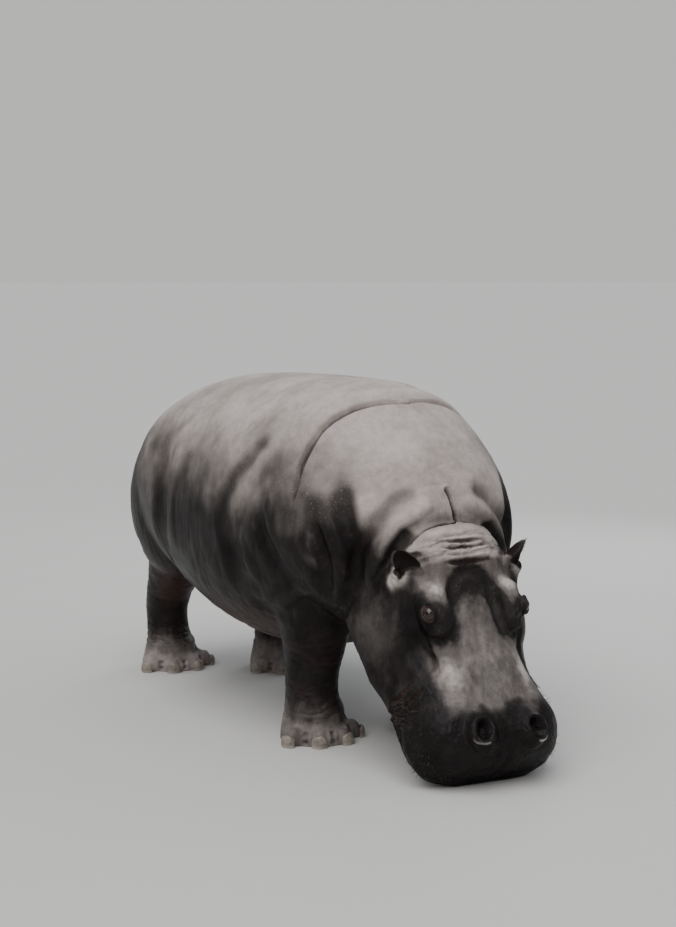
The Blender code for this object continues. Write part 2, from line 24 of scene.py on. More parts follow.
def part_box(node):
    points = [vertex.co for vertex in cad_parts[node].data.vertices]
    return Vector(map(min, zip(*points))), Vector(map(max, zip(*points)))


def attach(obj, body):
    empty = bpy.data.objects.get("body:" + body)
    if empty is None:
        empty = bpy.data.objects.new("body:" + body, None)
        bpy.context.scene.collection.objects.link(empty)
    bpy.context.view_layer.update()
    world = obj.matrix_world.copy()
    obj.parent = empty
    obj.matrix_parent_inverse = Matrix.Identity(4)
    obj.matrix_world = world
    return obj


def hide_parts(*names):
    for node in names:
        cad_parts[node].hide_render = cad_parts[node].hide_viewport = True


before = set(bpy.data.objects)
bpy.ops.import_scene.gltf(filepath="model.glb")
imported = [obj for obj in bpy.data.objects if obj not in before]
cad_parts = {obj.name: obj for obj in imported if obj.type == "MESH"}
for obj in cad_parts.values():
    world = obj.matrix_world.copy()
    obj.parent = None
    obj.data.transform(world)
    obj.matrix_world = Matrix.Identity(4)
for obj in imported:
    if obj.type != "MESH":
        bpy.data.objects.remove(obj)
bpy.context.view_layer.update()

LOG = logging.getLogger("hippopotamus")
GROUND = 1e-4       # what lies below this height rests on the floor

Point = tuple[float, float, float]
Rows = list[tuple]

FLESH = ("trunk", "neck", "head", "lower_jaw", "tail", "ear_left", "ear_right",
         "leg_fore_left", "leg_fore_right", "leg_hind_left", "leg_hind_right",
         "foot_fore_left", "foot_fore_right", "foot_hind_left", "foot_hind_right")


class Side(Enum):
    """The two sides of the animal, by the sign of X."""

    RIGHT = -1
    LEFT = 1


class Place(Enum):
    """What a stroke's numbers are measured from."""

    BODY = "body"   # the body's own axes
    HEAD = "head"   # x left, y forward along the face, z out of the face


class Cross(Enum):
    """The cross section that a stroke leaves in the skin."""

    SWELL = "swell"     # a wide round rise or hollow
    CREASE = "crease"   # a narrow groove between two soft lips
    PIT = "pit"         # a hole with a flat floor and steep walls


class Sides(Enum):
    """Which sides of the animal a stroke is laid on."""

    BOTH = (-1, 1)
    RIGHT = (-1,)
    LEFT = (1,)


# -------- small tools

def smoothstep(low: float, high: float, x: np.ndarray) -> np.ndarray:
    """Rises from 0 at low to 1 at high, flat at both ends."""
    t = np.clip((np.asarray(x, float) - low) / (high - low), 0.0, 1.0)
    return t * t * (3.0 - 2.0 * t)


def catmull(rows: Rows, steps: int) -> np.ndarray:
    """Makes smooth rows between the given ones.

    Args:
        rows: Rows of numbers that the curve passes through.
        steps: How many rows are made for each gap.

    Returns:
        The rows of the curve, with the last given row at its end.
    """
    rows = np.asarray(rows, float)
    padded = np.vstack([2 * rows[0] - rows[1], rows, 2 * rows[-1] - rows[-2]])
    t = (np.arange(steps) / steps)[:, None]
    made = []
    for i in range(len(rows) - 1):
        a, b, c, d = padded[i:i + 4]
        made.append(0.5 * (2 * b + (c - a) * t + (2 * a - 5 * b + 4 * c - d) * t * t
                           + (3 * b - a - 3 * c + d) * t ** 3))
    made.append(rows[-1:])
    return np.vstack(made)


def round_angles(count: int) -> np.ndarray:
    """Angles that divide a full turn evenly."""
    return np.linspace(0, 2 * math.pi, count, endpoint=False)


def link(name: str, bm: BMesh) -> Object:
    """Puts a bmesh in the scene and frees it.

    Args:
        name: The new object's name.
        bm: The bmesh.

    Returns:
        The new object.
    """
    mesh = bpy.data.meshes.new(name)
    bm.to_mesh(mesh)
    bm.free()
    obj = bpy.data.objects.new(name, mesh)
    bpy.context.scene.collection.objects.link(obj)
    return obj


def settle(obj: Object) -> None:
    """Replaces an object's mesh by the one that its modifiers make.

    Args:
        obj: The object.
    """
    graph = bpy.context.evaluated_depsgraph_get()
    made = bpy.data.meshes.new_from_object(obj.evaluated_get(graph))
    old = obj.data
    obj.modifiers.clear()
    obj.data = made
    bpy.data.meshes.remove(old)


def add_loft(bm: BMesh, rings: list) -> None:
    """Adds a closed tube with its two ends filled.

    Args:
        bm: The mesh that takes it.
        rings: The rings of points that it passes through, with as many points in each.
    """
    count = len(rings[0])
    grid = [[bm.verts.new(p) for p in ring] for ring in rings]
    made = []
    for low, high in zip(grid, grid[1:]):
        for i in range(count):
            j = (i + 1) % count
            made.append(bm.faces.new((low[i], low[j], high[j], high[i])))
    made.append(bm.faces.new(grid[0]))
    made.append(bm.faces.new(grid[-1]))
    bmesh.ops.recalc_face_normals(bm, faces=made)


def add_ball(bm: BMesh, centre: Vector, radii: Point, turn: Matrix | None = None) -> None:
    """Adds a ball.

    Args:
        bm: The mesh that takes it.
        centre: Its middle.
        radii: Its three radii.
        turn: How it is turned.
    """
    place = Matrix.Translation(centre) @ (turn or Matrix.Identity(3)).to_4x4()
    made = bmesh.ops.create_icosphere(bm, subdivisions=4, radius=1.0)["verts"]
    bmesh.ops.transform(bm, matrix=place @ Matrix.Diagonal((*radii, 1)), verts=made)


# -------- the body's form

@dataclass
class HeadAxes:
    """The head's own axes: x to the left, y forward along the face, z out of the face."""

    pitch: float = math.radians(60)
    yaw: float = math.radians(-3)
    origin: Vector = field(default_factory=lambda: Vector((0.0, -1.262, 0.888)))

    def matrix(self) -> Matrix:
        """Places the head.

        Returns:
            The matrix from the head's axes to the body's.
        """
        axis = Vector((0, -math.cos(self.pitch), -math.sin(self.pitch)))
        normal = Vector((0, -math.sin(self.pitch), math.cos(self.pitch)))
        turn = Matrix((Vector((1, 0, 0)), axis, normal)).transposed().to_4x4()
        return Matrix.Translation(self.origin) @ Matrix.Rotation(self.yaw, 4, "Z") @ turn

    def inside(self, points: np.ndarray) -> np.ndarray:
        """Points of the body in the head's axes."""
        back = np.array(self.matrix().inverted())
        return points @ back[:3, :3].T + back[:3, 3]


@dataclass
class Trunk:
    """Barrel of the body, from the tail to the chest."""

    ring: int = 72
    squareness: float = 2.25
    # y, top, bottom, half width, height of the widest point
    stations: Rows = field(default_factory=lambda: [
        (1.125, 0.99, 0.86, 0.06, 0.93), (1.09, 1.09, 0.74, 0.19, 0.93),
        (0.99, 1.215, 0.62, 0.32, 0.92), (0.84, 1.33, 0.54, 0.43, 0.92),
        (0.58, 1.42, 0.48, 0.505, 0.9), (0.28, 1.47, 0.4, 0.555, 0.86),
        (-0.02, 1.485, 0.33, 0.575, 0.83), (-0.3, 1.49, 0.315, 0.57, 0.84),
        (-0.56, 1.485, 0.37, 0.545, 0.88), (-0.76, 1.42, 0.46, 0.48, 0.92),
        (-0.9, 1.3, 0.56, 0.36, 0.92), (-0.97, 1.16, 0.7, 0.2, 0.92)])

    def add(self, bm: BMesh) -> None:
        """Adds the barrel to a mesh.

        Args:
            bm: The mesh that takes it.
        """
        angles = round_angles(self.ring)
        cos, sin = np.cos(angles), np.sin(angles)
        power = 2 / self.squareness
        across = np.copysign(np.abs(cos) ** power, cos)
        rise = np.copysign(np.abs(sin) ** power, sin)
        rings = []
        for y, top, bottom, half, widest in catmull(self.stations, 5):
            reach = np.where(sin > 0, top - widest, widest - bottom)
            rings.append(np.column_stack([half * across, np.full(self.ring, y),
                                          widest + reach * rise]))
        add_loft(bm, rings)


@dataclass
class Neck:
    """The thick neck, from the withers down to the back of the skull."""

    ring: int = 72
    # y, z of the axis, half width, reach up, reach down
    stations: Rows = field(default_factory=lambda: [
        (-0.4, 1.01, 0.49, 0.47, 0.5), (-0.6, 0.97, 0.53, 0.53, 0.48),
        (-0.78, 0.89, 0.52, 0.51, 0.43), (-0.92, 0.825, 0.485, 0.46, 0.38),
        (-1.03, 0.77, 0.42, 0.375, 0.34), (-1.11, 0.73, 0.33, 0.27, 0.28),
        (-1.16, 0.705, 0.2, 0.17, 0.19)])

    def add(self, bm: BMesh) -> None:
        """Adds the neck to a mesh.

        Args:
            bm: The mesh that takes it.
        """
        rows = catmull(self.stations, 5)
        angles = round_angles(self.ring)
        rings = []
        for i, (y, z, half, above, below) in enumerate(rows):
            before, after = rows[max(i - 1, 0)], rows[min(i + 1, len(rows) - 1)]
            along = Vector((0, after[0] - before[0], after[1] - before[1])).normalized()
            rise = np.where(np.sin(angles) > 0, above, below) * np.sin(angles)
            rings.append(np.column_stack([half * np.cos(angles), y + along.z * rise,
                                          z - along.y * rise]))
        add_loft(bm, rings)


@dataclass
class Skull:
    """The long head with its deep cheeks and wide square muzzle, in the head's axes."""

    axes: HeadAxes
    # distance forward, top, then (half width, height) of face edge, cheek and jaw, and bottom
    stations: Rows = field(default_factory=lambda: [
        (-0.14, -0.08, 0.1, -0.11, 0.17, -0.2, 0.14, -0.32, -0.36),
        (-0.07, 0.02, 0.15, -0.02, 0.26, -0.17, 0.25, -0.38, -0.43),
        (0.02, 0.045, 0.17, 0.015, 0.29, -0.15, 0.32, -0.38, -0.47),
        (0.12, 0.04, 0.18, 0.015, 0.305, -0.15, 0.35, -0.38, -0.49),
        (0.22, 0.02, 0.185, 0.0, 0.305, -0.15, 0.36, -0.37, -0.485),
        (0.32, 0.0, 0.17, -0.02, 0.295, -0.17, 0.35, -0.35, -0.465),
        (0.43, -0.005, 0.145, -0.025, 0.285, -0.18, 0.335, -0.335, -0.435),
        (0.53, 0.0, 0.15, -0.02, 0.275, -0.16, 0.305, -0.31, -0.405),
        (0.63, 0.012, 0.18, -0.015, 0.28, -0.12, 0.295, -0.285, -0.365),
        (0.71, 0.025, 0.215, -0.015, 0.3, -0.11, 0.295, -0.265, -0.34),
        (0.79, 0.012, 0.215, -0.035, 0.3, -0.135, 0.275, -0.255, -0.315),
        (0.85, -0.035, 0.185, -0.075, 0.265, -0.16, 0.23, -0.245, -0.285),
        (0.885, -0.12, 0.11, -0.145, 0.17, -0.182, 0.13, -0.218, -0.237)])
    # flesh on both sides: distance out, forward, up, then its three radii
    flesh: Rows = field(default_factory=lambda: [
        (0.162, 0.268, -0.006, 0.078, 0.112, 0.064),    # round the eye
        (0.215, 0.13, -0.085, 0.065, 0.11, 0.07),       # cheek bone
        (0.2, 0.22, -0.27, 0.15, 0.26, 0.2),         # jowl
        (0.105, 0.765, 0.004, 0.062, 0.085, 0.045),     # round the nostril
        (0.175, 0.73, -0.15, 0.13, 0.135, 0.135)])     # upper lip

    def add(self, bm: BMesh) -> None:
        """Adds the head and the flesh on it to a mesh.

        Args:
            bm: The mesh that takes it.
        """
        place = self.axes.matrix()
        rings = []
        for u, top, cw, ch, sw, sh, jw, jh, bottom in catmull(self.stations, 5):
            half = [(0, top), (cw, ch), (sw, sh), (jw, jh), (0, bottom)]
            loop = half + [(-w, h) for w, h in reversed(half[1:-1])]
            ring = catmull(loop + loop[:3], 6)[6:6 + 6 * len(loop)]
            rings.append([place @ Vector((w, u, h)) for w, h in ring])
        add_loft(bm, rings)
        turn = place.to_3x3()
        for w, u, v, *radii in self.flesh:
            for side in Sides.BOTH.value:
                add_ball(bm, place @ Vector((side * w, u, v)), tuple(radii), turn)


@dataclass
class Leg:
    """One leg with the toes of its foot."""

    x: float
    y: float
    root_y: float
    pad: float          # how far the toes' centre lies ahead of the leg
    stations: Rows      # z, forward offset, half width, half length
    ring: int = 72
    lean: tuple[float, float] = (0.25, 0.75)
    toe_turns: tuple[float, ...] = (-66, -23, 23, 66)
    toe_reach: tuple[float, ...] = (0.134, 0.116, 0.116, 0.134)
    toe_height: float = 0.032
    nail_height: float = 0.02
    nail_ahead: float = 0.04
    toe_radii: Point = (0.041, 0.058, 0.05)
    nail_radii: Point = (0.028, 0.026, 0.03)

    def add(self, bm: BMesh) -> None:
        """Adds the leg and its toes to a mesh.

        Args:
            bm: The mesh that takes it.
        """
        angles = round_angles(self.ring)
        rings = []
        for z, ahead, half, length in catmull(self.stations, 5):
            lean = float(smoothstep(*self.lean, z))
            centre = self.y - ahead + (self.root_y - self.y) * lean
            rings.append(np.column_stack([self.x + half * np.cos(angles),
                                          centre + length * np.sin(angles),
                                          np.full(self.ring, z)]))
        add_loft(bm, rings)
        for spot, out, spin in self.toes():
            add_ball(bm, spot + Vector((0, 0, self.toe_height)), self.toe_radii, spin)
            tip = spot + out * self.nail_ahead + Vector((0, 0, self.nail_height))
            add_ball(bm, tip, self.nail_radii, spin)

    def toes(self) -> list[tuple[Vector, Vector, Matrix]]:
        """Lays out the toes.

        Returns:
            The spot of each toe on the floor, the way it points, and its turn.
        """
        found = []
        for turn, reach in zip(self.toe_turns, self.toe_reach):
            a = math.radians(turn)
            out = Vector((math.sin(a), -math.cos(a), 0))
            found.append((Vector((self.x, self.y - self.pad, 0)) + out * reach, out,
                          Matrix.Rotation(a, 3, "Z")))
        return found


FORE_LEG = [(0.84, 0.0, 0.17, 0.26), (0.66, 0.01, 0.165, 0.215), (0.5, 0.02, 0.15, 0.175),
            (0.38, 0.015, 0.128, 0.142), (0.27, 0.0, 0.112, 0.122), (0.17, 0.005, 0.11, 0.118),
            (0.09, 0.02, 0.128, 0.138), (0.04, 0.03, 0.142, 0.155), (-0.04, 0.03, 0.145, 0.158)]
HIND_LEG = [(0.86, 0.0, 0.19, 0.29), (0.7, 0.02, 0.175, 0.25), (0.55, 0.02, 0.15, 0.195),
            (0.42, -0.02, 0.12, 0.145), (0.3, -0.045, 0.102, 0.118),
            (0.18, -0.03, 0.1, 0.11), (0.09, 0.0, 0.125, 0.132), (0.04, 0.015, 0.142, 0.15),
            (-0.04, 0.015, 0.144, 0.152)]
LEGS = [Leg(-0.275, -0.61, -0.62, 0.03, FORE_LEG), Leg(0.275, -0.64, -0.62, 0.03, FORE_LEG),
        Leg(-0.225, 0.9, 0.73, 0.015, HIND_LEG), Leg(0.225, 0.62, 0.73, 0.015, HIND_LEG)]


@dataclass
class Tail:
    """The short flattened tail, which hangs down the rump."""

    ring: int = 36
    # y, z of the axis, half width, half depth
    stations: Rows = field(default_factory=lambda: [
        (1.0, 1.14, 0.07, 0.055), (1.09, 1.08, 0.064, 0.05), (1.135, 1.0, 0.052, 0.04),
        (1.16, 0.9, 0.04, 0.03), (1.17, 0.8, 0.03, 0.021), (1.172, 0.71, 0.022, 0.014),
        (1.168, 0.645, 0.013, 0.009), (1.165, 0.625, 0.006, 0.005)])

    def add(self, bm: BMesh) -> None:
        """Adds the tail to a mesh."""
        angles = round_angles(self.ring)
        add_loft(bm, [np.column_stack([half * np.cos(angles), y + deep * np.sin(angles),
                                       np.full(self.ring, z)])
                      for y, z, half, deep in catmull(self.stations, 10)])


@dataclass
class Ear:
    """A small cupped ear on a short stalk."""

    side: Side
    axes: HeadAxes
    ring: int = 44
    base: Point = (0.205, 0.1, 0.0)
    axis: Point = (0.7, -0.05, 0.7)
    mouths: dict[Side, Point] = field(default_factory=lambda: {     # the way each cup opens
        Side.RIGHT: (0.6, -0.5, -0.6), Side.LEFT: (0.44, -0.66, -0.6)})
    # distance along the ear, half width, cup depth, thickness
    stations: Rows = field(default_factory=lambda: [
        (-0.05, 0.024, 0.0, 0.038), (0.0, 0.029, 0.004, 0.038),
        (0.02, 0.041, 0.017, 0.03), (0.044, 0.051, 0.028, 0.021),
        (0.07, 0.051, 0.027, 0.017), (0.096, 0.039, 0.018, 0.015),
        (0.112, 0.023, 0.008, 0.012), (0.12, 0.008, 0.003, 0.008)])

    def frame(self) -> tuple[Vector, Vector, Vector, Vector]:
        """Places the ear.

        Returns:
            Its base, its axis, the way of the cup and the way across.
        """
        side = self.side.value
        axis = Vector((side * self.axis[0], *self.axis[1:])).normalized()
        opening = self.mouths[self.side]
        mouth = Vector((side * opening[0], *opening[1:]))
        mouth = (mouth - mouth.dot(axis) * axis).normalized()
        base = self.axes.matrix() @ Vector((side * self.base[0], *self.base[1:]))
        return base, axis, mouth, axis.cross(mouth)

    def add(self, bm: BMesh) -> None:
        """Adds the ear to a mesh.

        Args:
            bm: The mesh that takes it.
        """
        base, axis, mouth, across = self.frame()
        rings = []
        for along, half, cup, thick in catmull(self.stations, 8):
            ring = []
            for a in round_angles(self.ring):
                c, s = math.cos(a), math.sin(a)
                lift = cup * (c * c - 0.5) + 0.5 * thick * s
                ring.append(base + axis * along + across * (half * c) + mouth * lift)
            rings.append(ring)
        add_loft(bm, rings)


# -------- folds of the skin

@dataclass(frozen=True)
class Stroke:
    """A rise or hollow laid along a path on the skin."""

    name: str
    place: Place
    height: float
    reach: float
    path: tuple[Point, ...]
    cross: Cross = Cross.SWELL
    sides: Sides = Sides.BOTH
    taper: float = 1.5      # length of the faded ends, in reaches
    tone: float = 0.0       # how much it lightens or darkens the hide, as painted highlight or painted shade


def body(name: str, height: float, reach: float, *path: Point, **more: object) -> Stroke:
    """A wide stroke in the body's axes."""
    return Stroke(name, Place.BODY, height, reach, path, **more)


def face(name: str, height: float, reach: float, *path: Point, **more: object) -> Stroke:
    """A wide stroke in the head's axes."""
    return Stroke(name, Place.HEAD, height, reach, path, **more)


# The swellings and hollows that the solids have too
MODELLING = (
    body("withers fold", -0.016, 0.04, (0.5, -0.84, 1.04), (0.46, -0.83, 1.16),
         (0.33, -0.82, 1.33), (0.13, -0.87, 1.41), (0.0, -0.9, 1.42)),
    body("shoulder's rear hollow", -0.026, 0.1, (0.46, -0.52, 1.25), (0.53, -0.5, 1.08),
         (0.56, -0.47, 0.93), (0.54, -0.45, 0.77), (0.49, -0.42, 0.6)),
    body("shoulder's front fold", -0.022, 0.06, (0.49, -0.92, 1.0), (0.46, -0.97, 0.89),
         (0.44, -0.99, 0.79), (0.39, -0.93, 0.65)),
    body("neck hollow", -0.022, 0.07, (0.4, -1.02, 1.08), (0.37, -1.08, 0.98), (0.35, -1.1, 0.86),
         (0.35, -1.09, 0.74)),
    body("neck fold", -0.014, 0.05, (0.12, -1.19, 1.09), (0.2, -1.18, 1.06), (0.28, -1.16, 0.98),
         (0.33, -1.13, 0.91), (0.35, -1.1, 0.82), (0.34, -1.09, 0.7)),
    body("nape fold", -0.014, 0.045, (0.0, -1.235, 0.965), (0.08, -1.23, 0.96),
         (0.15, -1.22, 0.95), (0.22, -1.21, 0.9), (0.29, -1.16, 0.84)),
    body("flank hollow", -0.03, 0.13, (0.46, 0.34, 1.25), (0.54, 0.32, 1.08), (0.56, 0.3, 0.9),
         (0.54, 0.34, 0.7), (0.46, 0.42, 0.52)),
    body("thigh swelling", 0.022, 0.22, (0.46, 0.66, 1.05), (0.46, 0.7, 0.85)),
    body("elbow swelling", 0.03, 0.13, (0.44, -0.52, 0.62), (0.44, -0.66, 0.56)),
    face("temple hollow", -0.026, 0.075, (0.2, -0.02, 0.0), (0.25, 0.03, -0.06)),
    face("brow", 0.014, 0.085, (0.15, 0.16, 0.02), (0.16, 0.21, 0.03)),
    face("cheekbone", 0.02, 0.055, (0.255, 0.11, -0.045)),
    face("forehead hollow", -0.018, 0.075, (0.04, 0.145, 0.04), (0.03, 0.2, 0.02)),
    face("eye's inner hollow", -0.016, 0.05, (0.085, 0.2, 0.02), (0.105, 0.33, 0.0)),
    face("eye's front hollow", -0.022, 0.08, (0.165, 0.4, -0.01), (0.19, 0.44, -0.04)),
    face("cheek fold", -0.026, 0.06, (0.255, 0.3, -0.08), (0.235, 0.38, -0.09),
         (0.215, 0.46, -0.08), (0.225, 0.54, -0.09)),
    face("mouth corner", -0.028, 0.05, (0.28, 0.56, -0.17), (0.29, 0.59, -0.25)),
    face("bristle pad", 0.014, 0.045, (0.29, 0.635, -0.17), (0.29, 0.66, -0.22)),
    face("nose bridge", 0.012, 0.09, (0.0, 0.3, 0.0), (0.0, 0.6, 0.01)),
)
